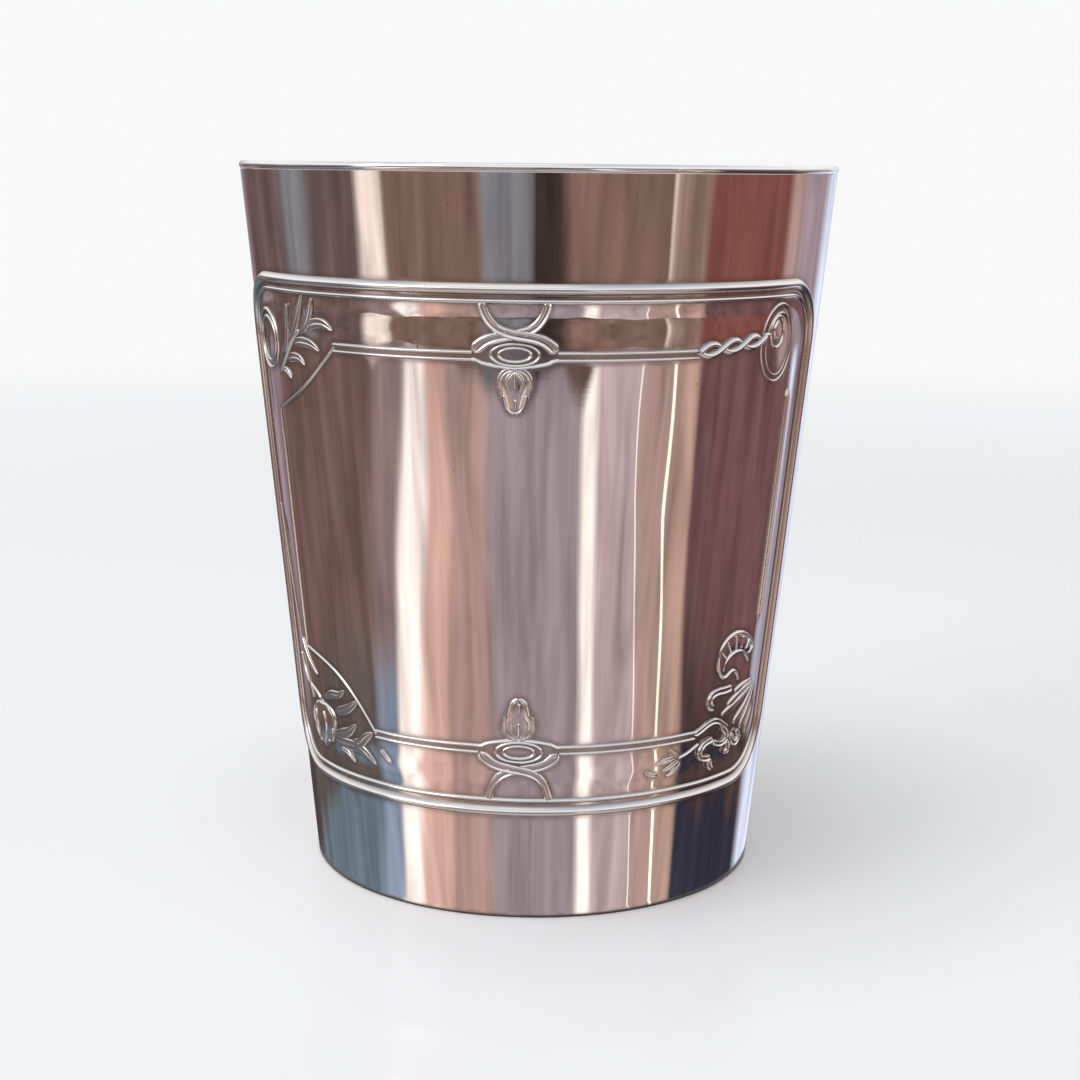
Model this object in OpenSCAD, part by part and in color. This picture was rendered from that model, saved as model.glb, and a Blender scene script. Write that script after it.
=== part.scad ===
// Tapered silver beaker with two framed ornament panels, front and rear.
// Origin on the table under the middle of the beaker, +Z up, the front panel faces -Y.

/* [Beaker] */
// Height from the table to the top of the lip
height = 80; // [74:0.5:100]
// Outside diameter of the wall, carried up to the full height
mouth_d = 67; // [60:0.5:80]
// Outside diameter of the wall, carried down to the table
foot_d = 51; // [44:0.5:58]
// Thickness of the silver sheet of the wall
sheet = 0.6; // [0.4:0.05:1]

/* [Lip] */
// Height of the band soldered along the edge of the wall
lip_h = 0.9; // [0.7:0.1:2]
// How far the band stands out on each side of the wall
lip_overhang = 0.1; // [0:0.05:0.4]

/* [Foot] */
// Inside radius of the bend that turns the wall in under the beaker
foot_bend = 0.6; // [0.3:0.1:2]
// Width of the flat ring that the beaker stands on
foot_ring_w = 3; // [1.5:0.1:6]
// Thickness of the bottom disc
bottom_t = 0.7; // [0.4:0.05:1.2]
// Gap between the edge of the bottom disc and the bend
bottom_fit = 0.05; // [0.02:0.01:0.2]

/* [Panel border] */
// Angle from the middle of a panel to the upright of its border
border_angle = 73; // [72:0.5:82]
// Height of the upper run of the border
border_top = 67.8; // [67.5:0.1:72]
// Height of the lower run of the border
border_bottom = 12.4; // [8:0.1:12.6]
// Radius of the rounded corners of the border
border_corner = 7; // [5:0.5:8]
// Width of the bold border bead
border_w = 0.8; // [0.4:0.05:1]
// Height of the bold border bead over the wall
border_h = 0.5; // [0.2:0.05:0.8]
// Distance from the bold bead to the thin line inside it
line_inset = 1.2; // [0.9:0.05:1.4]
// Width of the thin line
line_w = 0.5; // [0.3:0.05:0.7]
// Height of the thin line over the wall
line_h = 0.3; // [0.1:0.05:0.5]

/* [Inner rail] */
// Distance from the upper run of the border down to the rail
rail_drop = 6.7; // [6.4:0.1:7.2]
// Distance from the lower run of the border up to the rail
rail_rise = 6.9; // [6.6:0.1:7.4]
// Width of the double reed on the level runs and the right upright
rail_w = 1.1; // [0.8:0.05:1.2]
// Height of the rail over the wall
rail_h = 0.3; // [0.1:0.05:0.5]
// Width of the single bead down the left side
rail_side_w = 0.5; // [0.3:0.05:0.6]
// Angle from the middle of a panel to the left upright
rail_left_angle = 60; // [59:0.5:60.5]
// Angle from the middle of a panel to the right upright
rail_right_angle = 64; // [62:0.5:66]
// Length along the rail of the cut corners on the left
rail_cut_w = 12.4; // [11.8:0.1:12.8]
// Height of the cut corners on the left
rail_cut_h = 7.5; // [7.2:0.1:8.5]
// How far the upper cut corner swells into the panel
rail_swell_top = 0.9; // [0.3:0.1:1]
// How far the lower cut corner swells into the panel
rail_swell_bottom = 2; // [1.2:0.1:2.4]

/* [Clasps and buds] */
// Length of a clasp along the rail
clasp_l = 10; // [9.5:0.1:10.5]
// Half length of the ring round the boss in the middle of a clasp
boss_rx = 2.85; // [2.4:0.05:3]
// Half height of that ring
boss_ry = 1.15; // [1:0.05:1.15]
// Width of the ring and of the bow under it
boss_ring_w = 0.4; // [0.2:0.05:0.45]
// Gap between the ring and the boss inside it
boss_gap = 0.2; // [0.1:0.05:0.3]
// Height of the boss over the wall
boss_h = 0.5; // [0.2:0.05:0.8]
// Width of the ribbons that cross over the boss
ribbon_w = 0.9; // [0.5:0.05:0.95]
// Height of the ribbons over the wall
ribbon_h = 0.35; // [0.15:0.05:0.6]
// Distance from the rail to the point where the ribbons cross
ribbon_cross = 2.15; // [2:0.05:2.4]
// Distance from the rail to the furthest point of the bow
bow_dip = 1.32; // [1.3:0.01:1.35]
// Distance from the rail to the foot of a bud
bud_gap = 1.6; // [1.6:0.05:2.4]
// Width of a bud, to the middle of its outer petals
bud_w = 2.6; // [2.2:0.1:3]
// Width of an outer petal
petal_w = 0.64; // [0.4:0.02:0.7]
// Length of a bud
bud_l = 4.2; // [3.8:0.1:5]
// Height of a bud over the wall
bud_h = 0.5; // [0.2:0.05:0.8]

/* [Corner ornaments] */
// Width of a corner ornament
motif_w = 10; // [9.5:0.1:10.2]
// Height of the leaves and drops over the wall
leaf_h = 0.45; // [0.2:0.05:0.8]
// Width of the stems and of a leaf's midrib
stem_w = 0.4; // [0.2:0.05:0.45]
// Half width of the roundel on the right, to the middle of its rim
roundel_rx = 3.1; // [2.9:0.05:3.2]
// Half height of that roundel
roundel_ry = 4.1; // [3.9:0.05:4.2]
// Radius of the ring on the left, to the middle of its wire
loop_r = 3.1; // [2.4:0.1:3.2]
// Radius of the shell, to the middle of its rim
shell_r = 3.4; // [3.2:0.1:3.7]
// Width of the wire of the rings and of the shell's rim
scroll_w = 0.65; // [0.4:0.05:0.7]
// Height of that wire over the wall
scroll_h = 0.4; // [0.2:0.05:0.7]
// Width of a strand of the twisted cord and of the scrolls
strand_w = 0.55; // [0.3:0.05:0.6]
// Width of the knotted ribbon
loop_w = 0.8; // [0.5:0.05:0.85]
// Length of one link of the twisted cord
link_l = 2.95; // [2.7:0.05:3]
// Width of the twisted cord, over both strands
cord_w = 2; // [1.9:0.05:2.2]

/* [Hidden] */
$fn = 96;
// Solder film between the wall and what sits on it
solder = 0.035;
SIDES = [["front", 0], ["rear", 180]];
ORNAMENTS = [
    "border_wire", "border_line", "inner_rail", "upper_clasp", "lower_clasp", "upper_bud",
    "lower_bud", "leaf_spray", "flower_spray", "cord_roundel", "shell_scroll", "ribbon_knot"
];

// The wall's cone: its slope, where the sheet ends under the lip, and the bend at the foot
taper = atan((mouth_d - foot_d) / 2 / height);
wall_top = height - lip_h;
bend_out = foot_bend + sheet;
bend_r = foot_d / 2 - bend_out * (1 - sin(taper)) / cos(taper);
bend_steps = 6;
lip_w = sheet + 2 * lip_overhang;

// Heights of the two level runs of the rail
rail_top = border_top - rail_drop;
rail_bottom = border_bottom + rail_rise;
// The clasps and the corner ornaments are drawn in tenths of their width
clasp_unit = clasp_l / 10;
motif_unit = motif_w / 10;
// Places of the corner ornaments: angle from the middle of the panel, height
leaf_at = [-46, rail_top];
loop_at = [-63, rail_top];
cord_at = [35.5, rail_top + 0.7 * motif_unit];
roundel_at = [57.2, rail_top + 0.6 * motif_unit];
flower_at = [-48, rail_bottom - 0.8 * motif_unit];
shell_at = [54, rail_bottom + 6.7 * motif_unit];
knot_at = [49.5, rail_bottom - 0.5 * motif_unit];
sprig_at = [34, rail_bottom - 2.7 * motif_unit];
// Angle that the knot takes from the end of the rail
knot_reach = 6;
// Gaps where a run of rail or ribbon stops short of its neighbour
joint_angle = 1;
upright_gap = 1.2;
ribbon_gap = 0.2;
// How far the boss sits from the middle of the rail, towards the border
boss_lift = 0.1;
// Angle from the middle of the panel to the lower clasp
lower_angle = 0.8;

// Angle that one step round the wall may span, so that its chord stays out of the wall
wall_step = 5;
// Cross sections from edge to edge: across in half widths, over the wall in heights
BEAD = [[-1, 0], [-0.7, 0.7], [0, 1], [0.7, 0.7], [1, 0]];
REED = [[-1, 0], [-0.6, 1], [0, 0.3], [0.6, 1], [1, 0]];
LEAF = [[-1, 0], [-0.5, 0.75], [0, 1], [0.5, 0.75], [1, 0]];

function wall_r(z) = foot_d / 2 + z * tan(taper);
// Millimetres of wall for one degree round it, at a height
function per_degree(z) = wall_r(z) * PI / 180;
// Point over the wall at an angle and a height
function seat(angle, z, lift) =
    let (r = wall_r(z) + (lift + solder) * cos(taper))
    [r * sin(angle), -r * cos(angle), z - lift * sin(taper)];
// Flat drawing in millimetres, bent round the wall about a place given as angle and height
function lay(points, at) = [
    for (p = points) [at.x + p.x / per_degree(at.y), at.y + p.y * cos(taper)]
];
// Corner ornament's drawing, in tenths of its width
function draw(points, at) = lay(points * motif_unit, at);

function pick(list, i) = list[max(0, min(len(list) - 1, i))];
function bend(p, i, t) =
    let (a = pick(p, i - 1), b = p[i], c = pick(p, i + 1), d = pick(p, i + 2))
    b + t / 2 * (c - a + t * (2 * a - 5 * b + 4 * c - d + t * (3 * b - a - 3 * c + d)));
// Smooth curve through the points, with n steps from each to the next
function curve(p, n = 3) = [
    for (i = [0 : len(p) - 2], s = [0 : n - 1]) bend(p, i, s / n),
    p[len(p) - 1]
];
function arc(middle, rx, ry, from, to, n) = [
    for (i = [0 : n]) let (t = from + (to - from) * i / n) middle + [rx * cos(t), ry * sin(t)]
];
function straight(from, to, n) = [for (i = [0 : n]) from + (to - from) * i / n];
// Level run round the wall at one height
function level(from, to, z) = straight([from, z], [to, z], ceil(abs(to - from) / wall_step));
// Run from one [angle, height] to another that swells to its left by a distance
function swelling(from, to, swell, n) =
    let (
        scale_x = per_degree((from.y + to.y) / 2),
        run = [(to.x - from.x) * scale_x, to.y - from.y],
        side = [-run.y / scale_x, run.x] / norm(run)
    )
    [for (i = [0 : n]) from + (to - from) * i / n + side * swell * sin(180 * i / n)];
function even(n, value) = [for (i = [1 : n]) value];

// Strip along a path of [angle, height] points, as a list of its points and a list of its faces
function strip(path, w, h, section, closed = false) =
    let (
        n = len(path),
        m = len(section),
        last = closed ? n - 1 : n - 2,
        mid = floor(m / 2)
    )
    [
        [
            for (i = [0 : n - 1])
                let (
                    p = path[i],
                    ahead = closed ? path[(i + 1) % n] : pick(path, i + 1),
                    behind = closed ? path[(i + n - 1) % n] : pick(path, i - 1),
                    along = [(ahead.x - behind.x) * per_degree(p.y), (ahead.y - behind.y) / cos(taper)],
                    side = [-along.y, along.x] / norm(along)
                )
                for (s = section)
                    seat(
                        p.x + side.x * s.x * w[i] / per_degree(p.y),
                        p.y + side.y * s.x * w[i] * cos(taper),
                        s.y * h[i]
                    )
        ],
        [
            for (i = [0 : last], j = [0 : m - 1])
                let (
                    a = i * m + j,
                    b = ((i + 1) % n) * m + j,
                    c = ((i + 1) % n) * m + (j + 1) % m,
                    d = i * m + (j + 1) % m
                )
                each [[a, d, c], [a, c, b]],
            if (!closed)
                for (j = [0 : m - 1])
                    if (j != mid && (j + 1) % m != mid)
                        each [
                            [mid, (j + 1) % m, j],
                            [(n - 1) * m + mid, (n - 1) * m + j, (n - 1) * m + (j + 1) % m]
                        ]
        ]
    ];
function bead(path, w, h, closed = false) =
    strip(path, even(len(path), w / 2), even(len(path), h), BEAD, closed);
function reed(path, w, h) =
    strip(path, even(len(path), w / 2), even(len(path), h), REED);
// Leaf from its foot to its tip, widest near the foot and bowed to its left
function leaf(at, foot, tip, bow, w, h = leaf_h, n = 5) =
    let (
        run = tip - foot,
        side = [-run.y, run.x] / norm(run),
        flat = [for (i = [0 : n]) let (t = i / n) foot + run * t + side * bow * sin(180 * t)],
        swell = [for (i = [0 : n]) max(0.1, sin(180 * pow(i / n, 0.75)))]
    )
    strip(draw(flat, at), w * motif_unit * swell, h * swell, LEAF);
// Long drop that hangs from a thin end and is fat near its tip
function drop(at, foot, tip, w, h, n = 6) =
    let (swell = [for (i = [0 : n]) max(0.25, sin(180 * pow(i / n, 2)))])
    strip(draw(straight(foot, tip, n), at), w * motif_unit * swell, h * swell, LEAF);
// Rounded oval, domed over the wall
function oval(at, rx, ry, h, n = 8) =
    let (swell = [for (i = [0 : n]) max(0.15, sin(180 * i / n))])
    strip(lay([for (i = [0 : n]) [-rx * cos(180 * i / n), 0]], at), ry * swell, h * swell, LEAF);
function ring(at, middle, rx, ry, w, h, n) =
    let (flat = [for (i = [1 : n]) middle + [rx * cos(360 * i / n), ry * sin(360 * i / n)]])
    bead(lay(flat, at), w, h, true);

// Solids of one stamping from its strips
module relief(strips) {
    starts = [for (i = 0, at = 0; i < len(strips); at = at + len(strips[i][0]), i = i + 1) at];
    polyhedron(
        [for (s = strips) each s[0]],
        [for (i = [0 : len(strips) - 1], f = strips[i][1]) [for (k = f) k + starts[i]]]
    );
}

// Rounded frame round a panel, a distance inside the border
function frame(inset) =
    let (radius = border_corner - inset, corner_steps = 4)
    [
        for (end = [[border_top - inset, 1], [border_bottom + inset, -1]])
            let (
                z = end[0],
                out = end[1],
                reach = border_angle - inset / per_degree(z),
                run = reach - radius / per_degree(z),
                count = ceil(2 * run / wall_step),
                corner = [
                    for (i = [0 : corner_steps - 1])
                        let (t = 90 * i / corner_steps)
                        [run + (reach - run) * cos(t), z - out * radius * (1 - sin(t))]
                ]
            )
            each concat(
                [for (p = corner) [-out * p.x, p.y]],
                [for (i = [0 : count]) [out * run * (2 * i / count - 1), z]],
                [for (i = [corner_steps - 1 : -1 : 0]) [out * corner[i].x, corner[i].y]]
            )
    ];

// Tapered wall, bent in at the foot to a flat ring
module wall() {
    thick = sheet / cos(taper);
    color("silver")
        rotate_extrude()
            polygon(concat(
                [[wall_r(wall_top), wall_top]],
                arc([bend_r, bend_out], bend_out, bend_out, -taper, -90, bend_steps),
                [[bend_r - foot_ring_w, 0], [bend_r - foot_ring_w, sheet]],
                arc([bend_r, bend_out], foot_bend, foot_bend, -90, -taper, bend_steps),
                [[wall_r(wall_top) - thick, wall_top]]
            ));
}

// Disc let in from above, seated on the ring of the foot
module bottom() {
    color("gainsboro")
        translate([0, 0, sheet])
            cylinder(h = bottom_t, r = bend_r - bottom_fit);
}

// Round-topped band on the edge of the wall
module lip_band() {
    color("whitesmoke")
        rotate_extrude()
            translate([wall_r(wall_top) - sheet / cos(taper) / 2, wall_top]) {
                translate([-lip_w / 2, 0])
                    square([lip_w, lip_h - lip_w / 2]);
                translate([0, lip_h - lip_w / 2])
                    circle(d = lip_w);
            }
}

module on_side(turn) {
    rotate([0, 0, turn])
        children();
}

module border_wire(turn) {
    color("lightgray")
        on_side(turn)
            relief([bead(frame(0), border_w, border_h, true)]);
}

module border_line(turn) {
    color("lightgray")
        on_side(turn)
            relief([bead(frame(line_inset), line_w, line_h, true)]);
}

// Double reed on the level runs and the right upright, single bead with cut corners on the left
module inner_rail(turn) {
    top_gap = clasp_l / 2 / per_degree(rail_top);
    bottom_gap = clasp_l / 2 / per_degree(rail_bottom);
    cut_top = -rail_left_angle + rail_cut_w / per_degree(rail_top);
    cut_bottom = -rail_left_angle + rail_cut_w / per_degree(rail_bottom);
    cut_steps = 8;
    cut_end = cut_bottom + joint_angle;
    knot_end = knot_at.x - knot_reach;
    cord_end = cord_at.x - joint_angle;
    upper_turn = [-rail_left_angle, rail_top - rail_cut_h];
    lower_turn = [-rail_left_angle, rail_bottom + rail_cut_h];
    left = concat(
        swelling([cut_top, rail_top], upper_turn, rail_swell_top, cut_steps),
        swelling(lower_turn, [cut_bottom, rail_bottom], rail_swell_bottom, cut_steps)
    );
    right = [
        [rail_right_angle, roundel_at.y - roundel_ry - upright_gap],
        [rail_right_angle, shell_at.y + shell_r + upright_gap]
    ];
    color("gainsboro")
        on_side(turn)
            relief([
                bead(left, rail_side_w, rail_h),
                reed(right, rail_w, rail_h),
                reed(level(-top_gap, cut_top + joint_angle, rail_top), rail_w, rail_h),
                reed(level(top_gap, cord_end, rail_top), rail_w, rail_h),
                reed(level(lower_angle - bottom_gap, cut_end, rail_bottom), rail_w, rail_h),
                reed(level(lower_angle + bottom_gap, knot_end, rail_bottom), rail_w, rail_h)
            ]);
}

// Oval boss in a ring, a bow that carries one reed round it, and two ribbons that cross and
// run to the border. out is 1 where the border lies above the rail and -1 where it lies below.
function clasp(at, out, border_z) =
    let (
        u = clasp_unit,
        reach = (out * (border_z - at.y) - line_w / 2) / cos(taper) - ribbon_gap,
        half = boss_ring_w / 2,
        inner = boss_ring_w + boss_gap,
        boss_at = [at.x, at.y + out * boss_lift],
        bow_rise = 0.35 * u,
        bow = arc([0, bow_rise], 4.9 * u, bow_dip + bow_rise, 206, 334, 10),
        cross = [0, ribbon_cross],
        wing_tip = [[3.4 * u, ribbon_cross - 1.05 * u], [4.1 * u, ribbon_cross - 1.85 * u]],
        wing = curve(concat([cross, cross + [1.2, -0.1] * u, cross + [2.4, -0.4] * u], wing_tip), 2),
        neck = curve([cross, cross + [1.35, 0.55] * u, cross + [2.6, 1.6] * u, [3.3 * u, reach]], 2),
        over = concat([for (i = [len(neck) - 1 : -1 : 1]) [-neck[i].x, neck[i].y]], wing),
        clear = 1.65 * u,
        place = function (points, sx) lay([for (p = points) [sx * p.x, out * p.y]], at)
    )
    [
        oval(boss_at, boss_rx - inner, boss_ry - inner, boss_h),
        ring(boss_at, [0, 0], boss_rx - half, boss_ry - half, boss_ring_w, boss_h, 20),
        bead(place(bow, 1), boss_ring_w, rail_h),
        reed(place(over, 1), ribbon_w, ribbon_h),
        reed(place([for (p = wing) if (p.x > clear) p], -1), ribbon_w, ribbon_h),
        reed(place([for (p = neck) if (p.x > clear) p], 1), ribbon_w, ribbon_h)
    ];

module upper_clasp(turn) {
    color("whitesmoke")
        on_side(turn)
            relief(clasp([0, rail_top], 1, border_top - line_inset));
}

module lower_clasp(turn) {
    color("whitesmoke")
        on_side(turn)
            relief(clasp([lower_angle, rail_bottom], -1, border_bottom + line_inset));
}

// Tulip bud: two outer petals round a pointed middle one. out is 1 for a bud that points up.
function bud(at, out) =
    let (
        shares = [[0.13, 0.04], [0.4, 0.1], [0.5, 0.3], [0.44, 0.64], [0.21, 0.92]],
        petal = function (sx) lay(curve([for (p = shares) [sx * p.x * bud_w, out * p.y * bud_l]], 2), at),
        steps = 2 * (len(shares) - 1),
        thin = [for (i = [0 : steps]) petal_w / 2 * max(0.25, sin(180 * i / steps))],
        heart = [for (i = [0 : 5]) [0, out * bud_l * (0.2 + 0.16 * i)]],
        swell = [for (i = [0 : 5]) max(0.1, sin(180 * pow(i / 5, 0.75)))]
    )
    [
        strip(petal(1), thin, even(steps + 1, bud_h * 0.8), LEAF),
        strip(petal(-1), thin, even(steps + 1, bud_h * 0.8), LEAF),
        strip(lay(heart, at), 0.2 * bud_w * swell, bud_h * swell, LEAF)
    ];

module upper_bud(turn) {
    color("silver")
        on_side(turn)
            relief(bud([0, rail_top - bud_gap], -1));
}

module lower_bud(turn) {
    color("silver")
        on_side(turn)
            relief(bud([lower_angle, rail_bottom + bud_gap], 1));
}

// Corner at the upper left: a lobed leaf along its midrib, and a ring beside it
module leaf_spray(turn) {
    color("lightgray")
        on_side(turn)
            relief([
                bead(draw(curve([[-5, -2.6], [-2.1, 1], [1.7, 4.6]]), leaf_at), stem_w, line_h),
                leaf(leaf_at, [-4.1, -0.3], [-3.2, 3.7], 0.3, 0.75),
                leaf(leaf_at, [-2.1, 1.9], [-0.9, 4.7], 0.3, 0.6),
                leaf(leaf_at, [0.6, 2.5], [4.6, 1.9], 0.5, 0.7),
                leaf(leaf_at, [-1.2, 0.6], [2.2, -0.4], 0.5, 0.75),
                leaf(leaf_at, [-2.7, -1], [-0.4, -2.1], 0.4, 0.6),
                leaf(leaf_at, [-4, -2.4], [-3, -3.7], 0.3, 0.4),
                ring(loop_at, [0, 0], loop_r, loop_r, scroll_w, scroll_h, 22)
            ]);
}

// Corner at the lower left: a bud that hangs from two stems, and a branch of leaves
module flower_spray(turn) {
    bud_at = draw([[-2.9, 2.2]], flower_at)[0];
    long_stem = [[-67.5, 23], [-65, 15], [-62.6, 8], [-60.8, 4], [-59, 1.5]];
    stem = [for (p = long_stem) [p.x, rail_bottom + p.y * motif_unit]];
    color("lightgray")
        on_side(turn)
            relief(concat(
                bud(bud_at, -1),
                [
                    bead(curve(stem), stem_w, line_h),
                    bead(draw(curve([[-4.8, 6.8], [-3.8, 5], [-3, 2.9]]), flower_at), stem_w, line_h),
                    leaf(flower_at, [-1.4, 3], [2, 4.4], -0.3, 0.5),
                    leaf(flower_at, [0.2, 1.9], [4, 3.2], -0.3, 0.5),
                    leaf(flower_at, [-0.2, -0.7], [3.6, 0.9], -0.5, 0.55),
                    leaf(flower_at, [3.2, -1.1], [6, 0.2], -0.4, 0.45),
                    leaf(flower_at, [-0.6, -2.1], [6.3, -2.8], 0.7, 0.55, leaf_h, 6),
                    leaf(flower_at, [7.3, -1], [8.5, -2.1], 0.2, 0.35)
                ]
            ));
}

// Corner at the upper right: two-stranded cord and the roundel that it runs into
module cord_roundel(turn) {
    links = 3;
    link_steps = 6;
    rise = 0.08;
    sway = (cord_w - strand_w) / 2;
    trim = 0.62 * motif_unit;
    rim = [roundel_rx, roundel_ry];
    inner = rim - [0.8, 0.85] * motif_unit;
    middle = [0.1, -0.15] * motif_unit;
    eye = rim - [2.05, 2.8] * motif_unit;
    eye_at = [-0.4, 0.85] * motif_unit;
    strand = function (from, to, flip, n) lay(
        [
            for (i = [0 : n])
                let (s = from + (to - from) * i / n)
                [s, flip * sway * sin(180 * s / link_l) + rise * s]
        ],
        cord_at
    );
    color("whitesmoke")
        on_side(turn)
            relief(concat(
                [
                    bead(strand(0, links * link_l, 1, links * link_steps), strand_w, scroll_h),
                    ring(roundel_at, [0, 0], rim.x, rim.y, scroll_w, scroll_h, 26),
                    ring(roundel_at, middle, inner.x, inner.y, strand_w, scroll_h, 20),
                    ring(roundel_at, eye_at, eye.x, eye.y, strand_w, scroll_h, 14)
                ],
                [
                    for (i = [0 : links - 1])
                        let (from = i * link_l)
                        bead(strand(from + trim, from + link_l - trim, -1, 4), strand_w, scroll_h)
                ]
            ));
}

// Corner at the lower right: fluted shell, scrolls under it and a fan of drops
module shell_scroll(turn) {
    hinge = [1.2, 0.3] * motif_unit;
    inner_r = 1.5 * motif_unit;
    rim = function (r, n) lay(arc(hinge, r, r, 196, 24, n), shell_at);
    flutes = 6;
    curl = [[-2, -1.4], [-0.8, -1.1], [0.6, -1.2], [1.2, -2], [0.4, -2.7], [-0.8, -2.5]];
    scroll = [[-1.6, -2.4], [-3.2, -2.2], [-3.9, -3.1], [-3.3, -4.1], [-2.4, -4]];
    apex = [6.4, -1.6];
    root = 2;
    drops = [[203, 6], [215, 6.6], [228, 6.8], [241, 8.2], [255, 7.8]];
    color("silver")
        on_side(turn)
            relief(concat(
                [
                    bead(rim(shell_r, 14), scroll_w, scroll_h),
                    bead(rim(inner_r, 8), strand_w, scroll_h),
                    bead(draw(curve(curl, 2), shell_at), strand_w, scroll_h),
                    bead(draw(curve(scroll), shell_at), strand_w, scroll_h)
                ],
                [
                    for (i = [0 : flutes - 1])
                        let (t = 180 - 150 * i / (flutes - 1), away = [cos(t), sin(t)])
                        leaf(
                            shell_at,
                            (hinge + (inner_r + scroll_w * 0.6) * away) / motif_unit,
                            (hinge + (shell_r - scroll_w * 0.7) * away) / motif_unit,
                            0,
                            0.32,
                            scroll_h,
                            3
                        )
                ],
                [
                    for (d = drops)
                        let (away = [cos(d[0]), sin(d[0])])
                        drop(shell_at, apex + root * away, apex + d[1] * away, 0.55, leaf_h)
                ]
            ));
}

// End of the lower rail tied in two loops with a tail, and a sprig of leaves beside it
module ribbon_knot(turn) {
    big_loop = [[-2.2, 0.9], [-1.2, 1.9], [0.4, 2.1], [1.7, 1.2], [1.8, -0.2], [0.9, -0.9], [0.1, -0.2]];
    small_loop = [[-1, -0.7], [-2.4, -1], [-2.9, -2.1], [-2.1, -3], [-1, -2.6]];
    tail = [[0.5, -1.9], [0.3, -3.1], [-0.4, -4]];
    color("gainsboro")
        on_side(turn)
            relief([
                reed(draw(curve(big_loop), knot_at), loop_w, ribbon_h),
                reed(draw(curve(small_loop), knot_at), loop_w, ribbon_h),
                reed(draw(curve(tail, 2), knot_at), loop_w, ribbon_h),
                leaf(sprig_at, [-0.3, 0.5], [2.4, 1.2], 0.3, 0.5),
                leaf(sprig_at, [-0.6, -0.2], [-3, -0.9], 0.3, 0.45),
                leaf(sprig_at, [0.2, -0.6], [2.4, -1.5], 0.3, 0.45)
            ]);
}

wall();
bottom();
lip_band();
for (side = SIDES) {
    border_wire(side[1]);
    border_line(side[1]);
    inner_rail(side[1]);
    upper_clasp(side[1]);
    lower_clasp(side[1]);
    upper_bud(side[1]);
    lower_bud(side[1]);
    leaf_spray(side[1]);
    flower_spray(side[1]);
    cord_roundel(side[1]);
    shell_scroll(side[1]);
    ribbon_knot(side[1]);
}
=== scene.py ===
import math

import bmesh
import bpy
import numpy as np
from mathutils import Matrix, Vector
from mathutils.kdtree import KDTree


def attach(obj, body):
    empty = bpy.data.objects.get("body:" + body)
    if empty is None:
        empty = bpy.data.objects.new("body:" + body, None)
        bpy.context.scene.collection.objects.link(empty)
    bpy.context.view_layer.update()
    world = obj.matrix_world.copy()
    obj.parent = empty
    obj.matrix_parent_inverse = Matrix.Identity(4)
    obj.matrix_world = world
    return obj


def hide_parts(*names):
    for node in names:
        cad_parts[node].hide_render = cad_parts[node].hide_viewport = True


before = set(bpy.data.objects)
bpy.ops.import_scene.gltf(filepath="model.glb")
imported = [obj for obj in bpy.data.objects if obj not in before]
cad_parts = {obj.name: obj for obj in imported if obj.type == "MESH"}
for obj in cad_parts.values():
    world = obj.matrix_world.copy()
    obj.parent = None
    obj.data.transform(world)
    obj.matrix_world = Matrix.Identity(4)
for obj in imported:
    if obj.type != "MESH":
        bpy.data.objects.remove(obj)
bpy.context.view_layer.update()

mm = 0.001  # everything below is in mm until a mesh is made
scene = bpy.context.scene

# the beaker's own sizes, as in the solids
beaker = {
    "height": 80.0,
    "mouth": 67.0,        # outside, carried up to the full height
    "foot": 51.0,         # outside, carried down to the table
    "sheet": 0.6,
    "lipHeight": 0.9,
    "footBend": 0.6,
    "footEdge": 0.3,      # outside round of the foot's edge, sharper than the solid's
    "footFillet": 0.3,    # and the one inside
    "footRing": 3.0,
    "bottomThick": 0.7,
}
slope = (beaker["mouth"] - beaker["foot"]) / 2 / beaker["height"]
taper = math.atan(slope)
wallTop = beaker["height"] - beaker["lipHeight"]

# slow waves of a hand-raised wall: lobes round it, waves up it per mm, size, start
wallWaves = [
    (3, 0.030, 0.030, 0.4),
    (5, 0.065, 0.022, 1.9),
    (8, 0.050, 0.014, 4.1),
    (11, 0.120, 0.008, 2.6),
    (14, 0.090, 0.007, 5.3),
    (19, 0.210, 0.004, 0.9),
    (23, 0.160, 0.004, 3.3),
    (31, 0.340, 0.0015, 1.4),
]
wavesFull = 20.0                  # mm from the axis; nearer to it the waves fade out
sharpFrom = math.radians(45)      # edges sharper than this stay sharp in the shading


def wallRadius(z):
    return beaker["foot"] / 2 + z * slope


def perDegree(z):
    return math.radians(1) * wallRadius(z)


def wobble(angle, z):
    turn = np.radians(angle)
    return sum(size * np.cos(lobes * turn + rate * z + start) for lobes, rate, size, start in wallWaves)


def onWall(angle, z, lift):
    # degrees from the front, height and distance over the wall in mm; gives metres
    out = wallRadius(z) + (lift + wobble(angle, z)) * math.cos(taper)
    turn = np.radians(angle)
    return np.stack([out * np.sin(turn), -out * np.cos(turn), z - lift * math.sin(taper)], axis=-1) * mm


# mesh helpers

def gridFaces(rows, cols, wrapRows=False):
    # every row is a closed ring of points
    faces = []
    for i in range(rows if wrapRows else rows - 1):
        here, ahead = i * cols, (i + 1) % rows * cols
        for j in range(cols):
            right = (j + 1) % cols
            faces.append((here + j, ahead + j, ahead + right, here + right))
    return faces


def endCaps(rows, cols):
    last = (rows - 1) * cols
    return [tuple(range(cols)), tuple(range(last, last + cols))[::-1]]


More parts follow.
